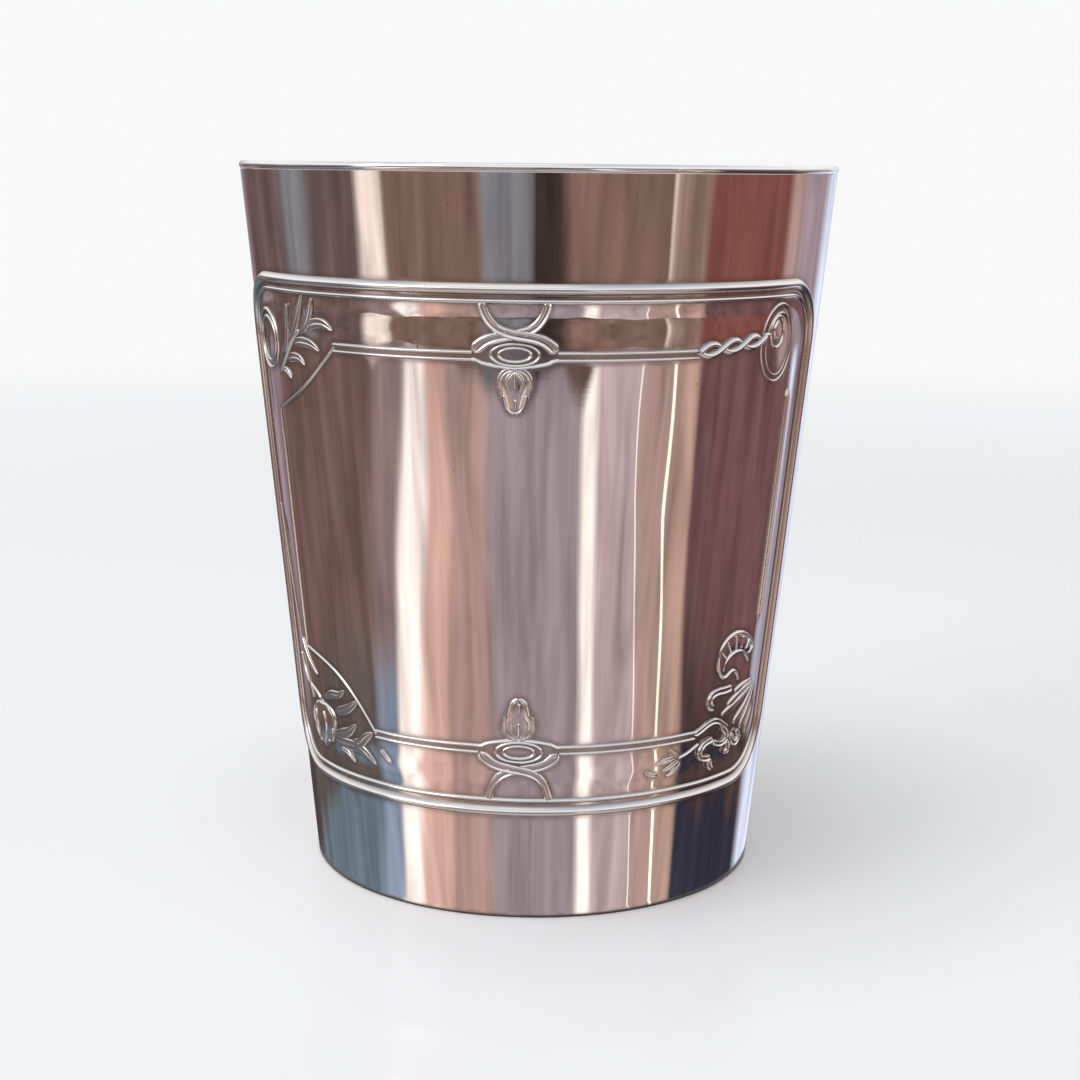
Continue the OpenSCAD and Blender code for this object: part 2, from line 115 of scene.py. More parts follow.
def makePiece(name, node, material, shells, inside=None):
    # shells: (points in metres, faces, rise), where rise is 0 in the hollows and 1 on the crests; low rise
    # gets tarnish and painted shade
    verts, faces, rises = [], [], []
    for points, polys, rise in shells:
        start = len(verts)
        verts.extend(points.reshape(-1, 3).tolist())
        faces.extend(tuple(k + start for k in poly) for poly in polys)
        rises.extend(rise.ravel().tolist())
    mesh = bpy.data.meshes.new(name)
    mesh.from_pydata(verts, [], faces)
    tool = bmesh.new()
    tool.from_mesh(mesh)
    bmesh.ops.recalc_face_normals(tool, faces=tool.faces)
    tool.to_mesh(mesh)
    tool.free()
    mesh.shade_smooth()
    mesh.set_sharp_from_angle(angle=sharpFrom)
    mesh.attributes.new("rise", "FLOAT", "POINT").data.foreach_set("value", rises)
    if inside is not None:
        mesh.attributes.new("inside", "FLOAT", "POINT").data.foreach_set("value", inside.ravel())
    mesh.materials.append(material)
    obj = bpy.data.objects.new(name, mesh)
    scene.collection.objects.link(obj)
    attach(obj, "root")
    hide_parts(node)
    return obj


def lathe(profile, count, solid=False):
    # profile of (radius, height) in mm turned round the axis, closed, or capped at both ends for a solid
    radius, height = np.array(profile).T[:, :, None]
    angles = np.linspace(0, 360, count, endpoint=False)[None, :]
    turn = np.radians(angles)
    out = radius + wobble(angles, height) * np.minimum(1, radius / wavesFull)
    points = np.stack([out * np.sin(turn), -out * np.cos(turn), height + 0 * turn], axis=-1) * mm
    caps = endCaps(len(profile), count) if solid else []
    return points, gridFaces(len(profile), count, not solid) + caps


# node helpers

def addNode(tree, kind, at, **values):
    made = tree.nodes.new(kind)
    made.location = at
    for key, value in values.items():
        if key in made.inputs:
            made.inputs[key].default_value = value
        else:
            setattr(made, key, value)
    return made


def feed(tree, value, socket):
    # a number or a colour is set on the socket, an output is linked to it
    if isinstance(value, tuple):
        socket.default_value = (*value, 1)
    elif isinstance(value, (int, float)):
        socket.default_value = value
    else:
        tree.links.new(value, socket)


def addMath(tree, operation, at, *values):
    made = addNode(tree, "ShaderNodeMath", at, operation=operation)
    for value, socket in zip(values, made.inputs):
        feed(tree, value, socket)
    return made.outputs[0]


def addShare(tree, at, value, limits, results=(0.0, 1.0), kind="SMOOTHSTEP"):
    # how far the value has gone from the first limit to the second
    made = addNode(tree, "ShaderNodeMapRange", at, interpolation_type=kind)
    for number, socket in zip((value, *limits, *results), made.inputs):
        feed(tree, number, socket)
    return made.outputs[0]


def addBlend(tree, at, share, first, second):
    made = addNode(tree, "ShaderNodeMix", at, data_type="RGBA")
    for value, k in ((share, 0), (first, 6), (second, 7)):
        feed(tree, value, made.inputs[k])
    return made.outputs[2]


def addNoise(tree, at, coords, **values):
    made = addNode(tree, "ShaderNodeTexNoise", at, **values)
    tree.links.new(coords, made.inputs["Vector"])
    return made.outputs[0]


def addVector(tree, operation, at, first, result=0):
    made = addNode(tree, "ShaderNodeVectorMath", at, operation=operation)
    tree.links.new(first, made.inputs[0])
    return made.outputs[result]


def addParts(tree, at, vector):
    made = addNode(tree, "ShaderNodeSeparateXYZ", at)
    tree.links.new(vector, made.inputs[0])
    return made.outputs


def addCoords(tree, at, kind="Object"):
    return addNode(tree, "ShaderNodeTexCoord", at).outputs[kind]


def addMixShader(tree, at, *values):
    # share, first and second shader, and the surface they go to
    made = addNode(tree, "ShaderNodeMixShader", at)
    *given, surface = values
    for value, socket in zip(given, made.inputs):
        tree.links.new(value, socket)
    tree.links.new(made.outputs[0], surface)


def newMaterial(name, endAt):
    material = bpy.data.materials.new(name)
    material.use_nodes = True
    tree = material.node_tree
    tree.nodes.clear()
    return material, tree, addNode(tree, "ShaderNodeOutputMaterial", endAt).inputs["Surface"]


def newGroup(name, inputs, outputs):
    tree = bpy.data.node_groups.new(name, "ShaderNodeTree")
    for title, kind, value in inputs:
        socket = tree.interface.new_socket(title, in_out="INPUT", socket_type=kind)
        socket.default_value = value
    for title, kind in outputs:
        tree.interface.new_socket(title, in_out="OUTPUT", socket_type=kind)
    return tree, addNode(tree, "NodeGroupInput", (-900, 0)), addNode(tree, "NodeGroupOutput", (900, 0))


floatIn, colorIn = "NodeSocketFloat", "NodeSocketColor"

marksLook = {
    "perMeter": 1000,                 # lines are given per mm
    "along": 60,                      # and stretch this far round the beaker
    "nickTurn": (0.5, 0.9, 0.3),      # fine nicks across them
    "nickScale": (2600, 180, 2600),
    "nickShare": 0.5,
    "smear": 10,
}


def makePolishMarks():
    # hairlines left by polishing, mostly round the beaker, with a cloudy change in gloss
    tree, given, put = newGroup(
        "polishMarks",
        [("Lines per mm", floatIn, 3.0), ("Smear", floatIn, 12.0)],
        [("Height", floatIn), ("Gloss Change", floatIn)],
    )
    link = tree.links.new
    coords = addCoords(tree, (-900, 300))
    parts = addParts(tree, (-700, 300), coords)
    fine = addMath(tree, "MULTIPLY", (-500, 400), given.outputs["Lines per mm"], marksLook["perMeter"])
    stretched = addNode(tree, "ShaderNodeCombineXYZ", (-300, 300))
    for k, (axis, amount) in enumerate((("X", marksLook["along"]), ("Y", marksLook["along"]), ("Z", fine))):
        link(addMath(tree, "MULTIPLY", (-450, 300 - 100 * k), parts[axis], amount), stretched.inputs[axis])
    lines = addNoise(tree, (-100, 300), stretched.outputs[0], Scale=1.0, Detail=4.0, Roughness=0.7)
    cross = addNode(
        tree, "ShaderNodeMapping", (-500, -100),
        Rotation=marksLook["nickTurn"], Scale=marksLook["nickScale"],
    )
    link(coords, cross.inputs["Vector"])
    nicks = addNoise(tree, (-300, -100), cross.outputs[0], Scale=1.0, Detail=2.0, Roughness=0.6)
    cloud = addNoise(tree, (-300, -400), coords, Detail=3.0, Roughness=0.6)
    smear = addMath(tree, "MULTIPLY", (-500, -400), given.outputs["Smear"], marksLook["smear"])
    link(smear, cloud.node.inputs["Scale"])
    both = addMath(tree, "MULTIPLY_ADD", (200, 100), nicks, marksLook["nickShare"], lines)
    link(both, put.inputs["Height"])
    link(addMath(tree, "MULTIPLY", (200, -300), lines, cloud), put.inputs["Gloss Change"])
    return tree


filmAndShadeLook = {"cloudScale": 90.0, "cloudFrom": 0.45, "speckScale": 260.0, "speck": (0.05, 0.02), "steep": 2.0}


def makeTarnishAndShadeFilm():
    # brown film in faint clouds where a cloth passes less, and darker where rise is low: partly patina in
    # the hollows, partly painted shade
    tree, given, put = newGroup(
        "tarnishAndShadeFilm",
        [
            ("Silver", colorIn, (0.93, 0.91, 0.89, 1)),
            ("Tarnish And Shade", colorIn, (0.25, 0.18, 0.13, 1)),
            ("Rise", floatIn, 1.0),
            ("Hollows", floatIn, 0.6),
            ("Clouds", floatIn, 0.1),
            ("Specks", floatIn, 0.0),
        ],
        [("Color", colorIn), ("Film", floatIn)],
    )
    link = tree.links.new
    coords = addCoords(tree, (-900, -300))
    # painted shade, partly patina: darker where rise is low
    low = addMath(tree, "SUBTRACT", (-500, 100), 1.0, given.outputs["Rise"])
    low = addMath(tree, "POWER", (-300, 100), low, filmAndShadeLook["steep"])
    low = addMath(tree, "MULTIPLY", (-100, 100), low, given.outputs["Hollows"])
    cloud = addNoise(tree, (-700, -300), coords, Scale=filmAndShadeLook["cloudScale"], Detail=5.0, Roughness=0.65)
    patch = addMath(tree, "SUBTRACT", (-500, -300), cloud, filmAndShadeLook["cloudFrom"])
    patch = addMath(tree, "MULTIPLY", (-300, -300), patch, given.outputs["Clouds"])
    patch = addMath(tree, "MAXIMUM", (-100, -300), patch, 0.0)
    filmAndShade = addMath(tree, "ADD", (100, 0), low, patch)
    cells = addNode(tree, "ShaderNodeTexVoronoi", (-700, -600), Scale=filmAndShadeLook["speckScale"])
    link(coords, cells.inputs["Vector"])
    speck = addShare(tree, (-500, -600), cells.outputs["Distance"], filmAndShadeLook["speck"])
    filmAndShade = addMath(tree, "MULTIPLY_ADD", (250, 0), speck, given.outputs["Specks"], filmAndShade)
    filmAndShade.node.use_clamp = True
    color = addBlend(tree, (400, 100), filmAndShade, given.outputs["Silver"], given.outputs["Tarnish And Shade"])
    link(color, put.inputs["Color"])
    link(filmAndShade, put.inputs["Film"])
    return tree


polishMarks = makePolishMarks()
tarnishAndShadeFilm = makeTarnishAndShadeFilm()

# hollows: how much darker the silver gets where rise is low, partly patina and partly painted shade
silverFinishes = {
    "wallSilver": {
        "silver": (0.94, 0.915, 0.895), "gloss": 0.01, "dull": 0.03, "hollows": 0.6, "clouds": 0.12,
        "specks": 0.4, "lines": 3.0, "marks": 0.018, "satin": 0.08, "frost": 0.16,
    },
    "reliefSilver": {
        "silver": (0.95, 0.93, 0.91), "gloss": 0.11, "dull": 0.20, "hollows": 0.9, "clouds": 0.15,
        "specks": 0.3, "lines": 4.0, "marks": 0.06,
    },
    "lipSilver": {
        "silver": (0.95, 0.93, 0.91), "gloss": 0.04, "dull": 0.12, "hollows": 0.3, "clouds": 0.1,
        "specks": 0.2, "lines": 5.0, "marks": 0.06,
    },
    "bottomSilver": {
        "silver": (0.90, 0.88, 0.85), "gloss": 0.10, "dull": 0.25, "hollows": 0.4, "clouds": 0.35,
        "specks": 0.5, "lines": 2.0, "marks": 0.08,
    },
}
glossLook = {"marks": (0.15, 0.45), "filmAndShadeDull": 0.25, "markDepth": 0.00002}   # what all finishes share


def makeSilver(name):
    finish = silverFinishes[name]
    material, tree, surface = newMaterial(name, (700, 0))
    link = tree.links.new
    shader = addNode(tree, "ShaderNodeBsdfPrincipled", (400, 0), Metallic=1.0)
    link(shader.outputs[0], surface)
    rise = addNode(tree, "ShaderNodeAttribute", (-700, 200), attribute_name="rise")
    # tarnish in clouds and specks, and painted shade, partly patina, where rise is low
    filmAndShade = addNode(
        tree, "ShaderNodeGroup", (-400, 200), node_tree=tarnishAndShadeFilm, Silver=(*finish["silver"], 1),
        Hollows=finish["hollows"], Clouds=finish["clouds"], Specks=finish["specks"],
    )
    link(rise.outputs["Fac"], filmAndShade.inputs["Rise"])
    marks = addNode(tree, "ShaderNodeGroup", (-400, -200), node_tree=polishMarks)
    marks.inputs["Lines per mm"].default_value = finish["lines"]
    link(filmAndShade.outputs["Color"], shader.inputs["Base Color"])
    gloss = (finish["gloss"], finish["dull"])
    rough = addShare(tree, (0, -100), marks.outputs["Gloss Change"], glossLook["marks"], gloss, "LINEAR")
    rough = addMath(tree, "MULTIPLY_ADD", (200, -100), filmAndShade.outputs["Film"], glossLook["filmAndShadeDull"], rough)
    if "satin" in finish:
        # inside, where no brush reaches, the silver is left frosted
        inside = addNode(tree, "ShaderNodeAttribute", (-700, 500), attribute_name="inside").outputs["Fac"]
        rough = addMath(tree, "MULTIPLY_ADD", (300, -100), inside, finish["satin"], rough)
        bright = addMath(tree, "MULTIPLY_ADD", (200, 300), inside, -finish["frost"], 1.0)
        link(bright, shader.inputs["Metallic"])
    link(rough, shader.inputs["Roughness"])
    bump = addNode(
        tree, "ShaderNodeBump", (100, -350), Strength=finish["marks"], Distance=glossLook["markDepth"],
    )
    link(marks.outputs["Height"], bump.inputs["Height"])
    link(bump.outputs[0], shader.inputs["Normal"])
    return material


silvers = {name: makeSilver(name) for name in silverFinishes}
print("silver finishes made:", len(silvers))

# shapes across a strip: -1 to 1 from edge to edge, gives the share of its height

def wireShape(s):
    return np.cos(np.pi / 2 * np.clip(s, -1, 1)) ** 1.25


def domeShape(s):
    return np.clip(1 - s * s, 0, 1) ** 0.6


def ribbonShape(s):
    # flat band between two raised edges
    rims = np.exp(-(((np.abs(s) - 0.66) / 0.24) ** 2))
    return np.clip(1 - s ** 8, 0, 1) * (0.55 + 0.45 * rims)


def railShape(s):
    # two wires with a low floor between them
    wires = np.cos(np.pi / 2 * np.clip((np.abs(s) - 0.6) / 0.38, -1, 1)) ** 1.2
    return np.maximum(wires, 0.14 * np.clip(1 - s ** 6, 0, 1))


def leafShape(s):
    # pillowed, with a groove along the middle and a turned-up edge
    rims = 0.3 * np.exp(-(((np.abs(s) - 0.78) / 0.16) ** 2))
    return 0.8 * np.clip(1 - s * s, 0, 1) ** 0.7 + rims - 0.3 * np.exp(-((s / 0.15) ** 2))


relief = {
    "sink": 0.03,     # the edges lie this far under the wall's skin
    "base": 0.2,      # and the backs this far
    "step": 0.2,      # longest step along a strip
    "leastSteps": 14,
    "easing": 1.5,    # more steps, for the finer ones at its ends
    "curveSteps": 12,
    "ringSteps": 96,
    "wire": 0.24,     # half width and height of a plain wire
    "wireHeight": 0.22,
    "leafHeight": 0.29,
}


def curve(points):
    # smooth run through the points
    p = np.asarray(points, dtype=float)
    q = np.vstack([2 * p[:1] - p[1:2], p, 2 * p[-1:] - p[-2:-1]])
    made = []
    for i in range(len(p) - 1):
        a, b, c, d = q[i : i + 4]
        for t in np.arange(relief["curveSteps"]) / relief["curveSteps"]:
            made.append(b + t / 2 * (c - a + t * (2 * a - 5 * b + 4 * c - d + t * (3 * b - a - 3 * c + d))))
    made.append(p[-1])
    return np.array(made)


def runLength(points):
    return np.concatenate([[0], np.cumsum(np.hypot(*np.diff(points, axis=0).T))])


def spaced(points):
    # the same run cut in steps that are finer at its ends
    points = np.asarray(points, dtype=float)
    far = runLength(points)
    n = max(relief["leastSteps"], int(relief["easing"] * far[-1] / relief["step"]))
    t = (1 - np.cos(np.pi * np.linspace(0, 1, n + 1))) / 2
    return np.stack([np.interp(t * far[-1], far, points[:, k]) for k in (0, 1)], -1)


def ring(middle, rx, ry):
    t = np.linspace(0, 2 * np.pi, relief["ringSteps"], endpoint=False)
    return np.stack([middle[0] + rx * np.cos(t), middle[1] + ry * np.sin(t)], -1)


def liftAt(lift, points):
    # lift is a number or a function of the points
    return lift(points) if callable(lift) else lift


# strips in mm on the flat, u to the right and v up from a place on the panel

def strip(points, width, height, shape, across=9, lift=0.0, closed=False):
    return points, dict(width=width, height=height, shape=shape, across=across, lift=lift, closed=closed)


def band(points, width, height, shape=wireShape, across=9, lift=0.0, grow=0.0):
    # round ends, the far one wider by its share grow
    points = spaced(points)
    far = runLength(points)
    width = width * (1 + grow * (far / far[-1]) ** 2)
    toEnd = np.minimum(far, far[-1] - far) / width
    ends = np.sqrt(np.clip(1 - (1 - np.minimum(toEnd, 1)) ** 2, 0.01, 1))
    return strip(points, width * ends, height * ends, shape, across, liftAt(lift, points))


def wire(points, width=relief["wire"], height=relief["wireHeight"], lift=0.0):
    return band(curve(points), width, height, lift=lift)


def ringWire(middle, rx, ry, width, height):
    return strip(ring(middle, rx, ry), width, height, wireShape, closed=True)


def leaf(points, width, height=relief["leafHeight"], lift=0.0):
    points = spaced(curve(points))
    t = np.linspace(0, 1, len(points))
    swell = np.sin(np.pi * np.clip(t, 0.02, 0.985) ** 0.8)
    tall = height * (0.25 + 0.75 * swell)
    return strip(points, width * np.maximum(0.08, swell), tall, leafShape, 17, liftAt(lift, points))


def drop(points, width):
    points = spaced(curve(points))
    t = np.linspace(0, 1, len(points))
    swell = np.sin(np.pi * np.clip(t, 0, 0.99) ** 1.8)
    tall = relief["leafHeight"] * (0.3 + 0.7 * swell)
    return strip(points, width * np.maximum(0.16, swell), tall, domeShape, 13)


def egg(foot, tip, widths, height):
    # rounded pad along a straight line, with the height over it for what rides on it
    foot, tip = np.array(foot, dtype=float), np.array(tip, dtype=float)
    span = np.linalg.norm(tip - foot)
    ahead = (tip - foot) / span
    knots = np.linspace(0, 1, len(widths))

    def size(t):
        tall = height * np.sin(np.pi * np.clip(t, 0.06, 0.96)) ** 0.4
        return np.interp(t, knots, widths), tall

    def over(points):
        away = points - foot
        t = away @ ahead / span
        wide, tall = size(np.clip(t, 0, 1))
        out = np.abs(away[:, 0] * ahead[1] - away[:, 1] * ahead[0]) / wide
        return np.where((t > 0) & (t < 1), tall * domeShape(np.minimum(out, 1)) * 0.85, 0.0)

    points = spaced([foot, tip])
    wide, tall = size((points - foot) @ ahead / span)
    return strip(points, wide, tall, domeShape, 17), over


def sweep(path, width, height, shape, turn, closed=False, across=9, lift=0.0):
    # mesh of a strip along a path of (angle, height) points
    path = np.asarray(path, dtype=float)
    if closed:
        ahead, behind = np.roll(path, -1, axis=0), np.roll(path, 1, axis=0)
    else:
        ahead = np.vstack([path[1:], path[-1:]])
        behind = np.vstack([path[:1], path[:-1]])
    wide = perDegree(path[:, 1])
    step = ahead - behind
    along = np.stack([step[:, 0] * wide, step[:, 1] / math.cos(taper)], -1)
    along /= np.linalg.norm(along, axis=1, keepdims=True)
    s = np.sin(np.linspace(-np.pi / 2, np.pi / 2, across))
    spread = np.concatenate([s, [1, -1]])[None, :] * np.broadcast_to(width, len(path))[:, None]
    tall = np.broadcast_to(height, len(path))[:, None]
    base = np.broadcast_to(lift, len(path))[:, None]
    top = base + tall * shape(s)[None, :] - relief["sink"]
    lifts = np.hstack([top, np.full((len(path), 2), -relief["base"])])
    angle = path[:, :1] - along[:, 1:] * spread / wide[:, None]
    z = path[:, 1:] + along[:, :1] * spread * math.cos(taper)
    points = onWall(angle + turn, z, lifts)
    # rise follows the strip's height, so its foot gets tarnish and painted shade
    rise = np.hstack([np.clip(shape(s), 0, 1)[None, :] + 0 * tall, np.zeros((len(path), 2))])
    caps = [] if closed else endCaps(len(path), across + 2)
    return points, gridFaces(len(path), across + 2, closed) + caps, rise


def place(at, strips, turn):
    # lays flat strips on the wall about a place given as (angle, height)
    shells = []
    for points, looks in strips:
        angles = at[0] + points[:, 0] / perDegree(at[1])
        heights = at[1] + points[:, 1] * math.cos(taper)
        shells.append(sweep(np.stack([angles, heights], -1), turn=turn, **looks))
    return shells


# panel layout: angles from its middle, heights over the table
border = {
    "angle": 73.0, "top": 67.8, "bottom": 12.4, "corner": 7.0, "cornerSteps": 16,
    "width": 0.6, "height": 0.5, "inset": 1.2, "lineWidth": 0.3, "lineHeight": 0.26,
}
rail = {
    "top": 61.1, "bottom": 19.3, "halfWidth": 0.6, "height": 0.24, "sideWidth": 0.21, "sideHeight": 0.17,
    "bolder": 1.4,        # the left upright against its cut corners
    "bolderOver": 3.0,    # mm it takes to grow
    "leftAngle": 60.0, "rightAngle": 64.0, "cutWidth": 12.4, "cutHeight": 7.5,
    "swellTop": 0.9, "swellBottom": 2.0, "cutSteps": 40,
    "upright": (56.5, 30.6), "uprightSteps": 60, "toCord": 35.3, "toKnot": 43.4,
    "runOut": 12.0,       # how fast the right upright thins at its ends, and to what share
    "thinnest": 0.03,
}
clasp = {
    "half": 4.3, "ribbon": 0.48, "grow": 0.5, "ribbonHeight": 0.3, "lowerAngle": 0.8,
    "over": 0.16,           # rise of one ribbon over the other, and how far along
    "overReach": 1.5,
    "ring": (0.21, 0.24),   # half width and height
    "ringUp": 0.2,
}
bud = {
    "gap": 1.25, "length": 4.5, "height": 0.34,
    "vein": (0.2, 0.17), "petal": (0.3, 0.2), "sepal": (0.4, 0.26),   # half widths and heights
}
# where the corner motifs are drawn from
motifPlace = {
    "leafSpray": (-46, rail["top"]),
    "leafRing": (-63, rail["top"]),
    "flowerSpray": (-48, rail["bottom"] - 0.8),
    "cordRoundel": (50, rail["top"] + 0.4),
    "shellScroll": (54, rail["bottom"] + 4.7),   # and the ribbon knot under it
}


def level(start, end, z):
    n = max(2, int(abs(end - start) * perDegree(z) / (2 * relief["step"])))
    return np.stack([np.linspace(start, end, n + 1), np.full(n + 1, z)], -1)


def framePath(inset):
    made = []
    radius = border["corner"] - inset
    t = np.radians(np.linspace(0, 90, border["cornerSteps"] + 1))[:-1]
    for z, out in ((border["top"] - inset, 1), (border["bottom"] + inset, -1)):
        wide = perDegree(z)
        reach = border["angle"] - inset / wide
        run = reach - radius / wide
        corner = np.stack([run + (reach - run) * np.cos(t), z - out * radius * (1 - np.sin(t))], -1)
        made.append(corner * (-out, 1))
        made.append(level(-out * run, out * run, z))
        made.append((corner * (out, 1))[::-1])
    path = np.vstack(made)
    filled = []
    for a, b in zip(path, np.roll(path, -1, axis=0)):
        n = max(1, int(np.hypot((b[0] - a[0]) * perDegree(a[1]), b[1] - a[1]) / (3 * relief["step"])))
        filled.extend(a + (b - a) * k / n for k in range(n))
    return np.array(filled)


def swelling(start, end, swell, n):
    # run from one (angle, height) to another, swelling to its left
    start, end = np.array(start, dtype=float), np.array(end, dtype=float)
    wide = perDegree((start[1] + end[1]) / 2)
    run = np.array([(end[0] - start[0]) * wide, end[1] - start[1]])
    side = np.array([-run[1] / wide, run[0]]) / np.linalg.norm(run)
    t = np.linspace(0, 1, n + 1)[:, None]
    return start + (end - start) * t + side * swell * np.sin(np.pi * t)


def borderWire(turn):
    return [sweep(framePath(0), border["width"], border["height"], wireShape, turn, True, 15)]


def borderLine(turn):
    path = framePath(border["inset"])
    return [sweep(path, border["lineWidth"], border["lineHeight"], wireShape, turn, True, 11)]


def innerRail(turn):
    topWide, lowWide = perDegree(rail["top"]), perDegree(rail["bottom"])
    cutTop = -rail["leftAngle"] + rail["cutWidth"] / topWide
    cutLow = -rail["leftAngle"] + rail["cutWidth"] / lowWide
    topGap, lowGap = clasp["half"] / topWide, clasp["half"] / lowWide
    shift = clasp["lowerAngle"]
    upperTurn = (-rail["leftAngle"], rail["top"] - rail["cutHeight"])
    lowerTurn = (-rail["leftAngle"], rail["bottom"] + rail["cutHeight"])
    left = np.vstack([
        swelling((cutTop, rail["top"]), upperTurn, rail["swellTop"], rail["cutSteps"]),
        swelling(upperTurn, lowerTurn, 0, rail["uprightSteps"])[1:-1],
        swelling(lowerTurn, (cutLow, rail["bottom"]), rail["swellBottom"], rail["cutSteps"]),
    ])
    toTurn = np.minimum(upperTurn[1] - left[:, 1], left[:, 1] - lowerTurn[1])
    bold = 1 + (rail["bolder"] - 1) * np.clip(toTurn / rail["bolderOver"], 0, 1)
    high, low = rail["upright"]
    right = swelling((rail["rightAngle"], high), (rail["rightAngle"], low), 0, rail["uprightSteps"])
    ends = rail["runOut"] * np.sin(np.linspace(0, np.pi, len(right)))
    ends = np.clip(ends, rail["thinnest"], 1) ** 0.5
    doubled = [
        (right, ends),
        (level(-topGap, cutTop, rail["top"]), 1),
        (level(topGap, rail["toCord"], rail["top"]), 1),
        (level(shift - lowGap, cutLow, rail["bottom"]), 1),
        (level(shift + lowGap, rail["toKnot"], rail["bottom"]), 1),
    ]
    shells = [sweep(left, rail["sideWidth"] * bold, rail["sideHeight"] * bold, wireShape, turn)]
    for run, size in doubled:
        width, height = rail["halfWidth"] * size, rail["height"] * size
        shells.append(sweep(run, width, height, railShape, turn, across=25))
    return shells


def claspStrips(out, reach):
    # drawn for the upper rail; out turns it over for the lower one, reach is how far the necks go
    flip, mirror = np.array([out, out]), np.array([-out, out])
    route = curve([
        (-3.35, reach), (-2.85, 4.1), (-2.2, 3.15), (-1.4, 2.6), (-0.3, 2.25),
        (0.9, 2.05), (2.0, 1.85), (2.9, 1.5), (3.6, 1.0), (4.2, 0.45),
    ])
    bow = curve([(-4.6, -0.32), (-3.9, -0.42), (-3.3, -0.7), (-1.7, -1.0), (0, -1.2)])
    bow = np.vstack([bow, (bow * (-1, 1))[::-1][1:]])

    def ridesOver(points):
        return clasp["over"] * np.exp(-((points[:, 0] / clasp["overReach"]) ** 2))

    width, height = clasp["ribbon"], clasp["ribbonHeight"]
    middle = (0, out * clasp["ringUp"])
    return [
        band(route * mirror, width, height, ribbonShape, 21, 0.0, clasp["grow"]),
        band(route * flip, width, height, ribbonShape, 21, ridesOver, clasp["grow"]),
        wire(bow[::6] * flip),
        ringWire(middle, 2.45, 1.12, *clasp["ring"]),
        ringWire(middle, 1.65, 0.7, *clasp["ring"]),
    ]


def upperClasp(turn):
    reach = border["top"] - border["inset"] - rail["top"]
    return place((0, rail["top"]), claspStrips(1, reach), turn)


def lowerClasp(turn):
    reach = rail["bottom"] - border["bottom"] - border["inset"]
    return place((clasp["lowerAngle"], rail["bottom"]), claspStrips(-1, reach), turn)


def budStrips(out):
    flip = np.array([1.0, out])
    widths = (0.35, 1.15, 1.5, 1.55, 1.45, 1.2, 1.0, 0.75, 0.25)
    pad, over = egg((0, 0), (0, out * bud["length"]), widths, bud["height"])
    sepal = [(0.1, 0.05), (0.95, 0.35), (1.42, 1.05), (1.48, 1.9), (1.32, 2.5), (1.36, 3.0)]
    petal = [(0.16, 0.3), (0.62, 0.95), (0.78, 1.75), (0.5, 2.6)]
    heart = [(1.15, 2.6), (1.0, 3.3), (0.8, 3.9), (0.45, 4.35), (0.02, 4.5)]
    strips = [pad]
    for sign in (1, -1):
        side = flip * (sign, 1)
        strips.append(wire(np.array(heart) * side, *bud["vein"], over))
        strips.append(leaf(np.array(petal) * side, *bud["petal"], over))
        strips.append(leaf(np.array(sepal) * side, *bud["sepal"], over))
    for line in ([(0, 0.2), (0, 1.0), (0, 1.9)], [(0, 3.0), (0.1, 3.5), (0, 4.1)]):
        strips.append(wire(np.array(line) * flip, *bud["vein"], over))
    return strips


def upperBud(turn):
    return place((0, rail["top"] - bud["gap"]), budStrips(-1), turn)


def lowerBud(turn):
    return place((clasp["lowerAngle"], rail["bottom"] + bud["gap"]), budStrips(1), turn)


def leafSpray(turn):
    at = motifPlace["leafSpray"]
    loop = ((motifPlace["leafRing"][0] - at[0]) * perDegree(at[1]), 0)
    strips = [
        wire([(-6.4, -3.4), (-5.0, -2.2), (-3.6, -0.8), (-2.2, 0.6), (-0.9, 1.5)], 0.28, 0.26),
        leaf([(-5.2, -1.2), (-4.2, -0.3), (-3.6, 1.2), (-3.5, 2.6), (-3.2, 4.1)], 0.55),
        leaf([(-2.9, 0.6), (-1.7, 2.0), (-0.8, 3.6), (0, 5.2)], 0.62),
        leaf([(-0.9, 1.3), (0.5, 2.2), (1.2, 3.4), (1.7, 5.0)], 0.55),
        leaf([(0.4, 1.7), (1.6, 2.3), (3.2, 2.4), (4.6, 1.8)], 0.6),
        leaf([(-2.2, 0), (-0.8, 0.25), (0.9, 0.1), (2.3, -0.5)], 0.6),
        leaf([(-4, -1.8), (-2.6, -1.5), (-1.4, -1.6), (-0.5, -2.2)], 0.55),
        leaf([(-5.4, -3.0), (-4.5, -3.2), (-3.6, -3.9)], 0.42),
        ringWire(loop, 3.2, 3.2, 0.2, 0.18),
        ringWire(loop, 2.4, 2.4, 0.18, 0.14),
    ]
    return place(at, strips, turn)


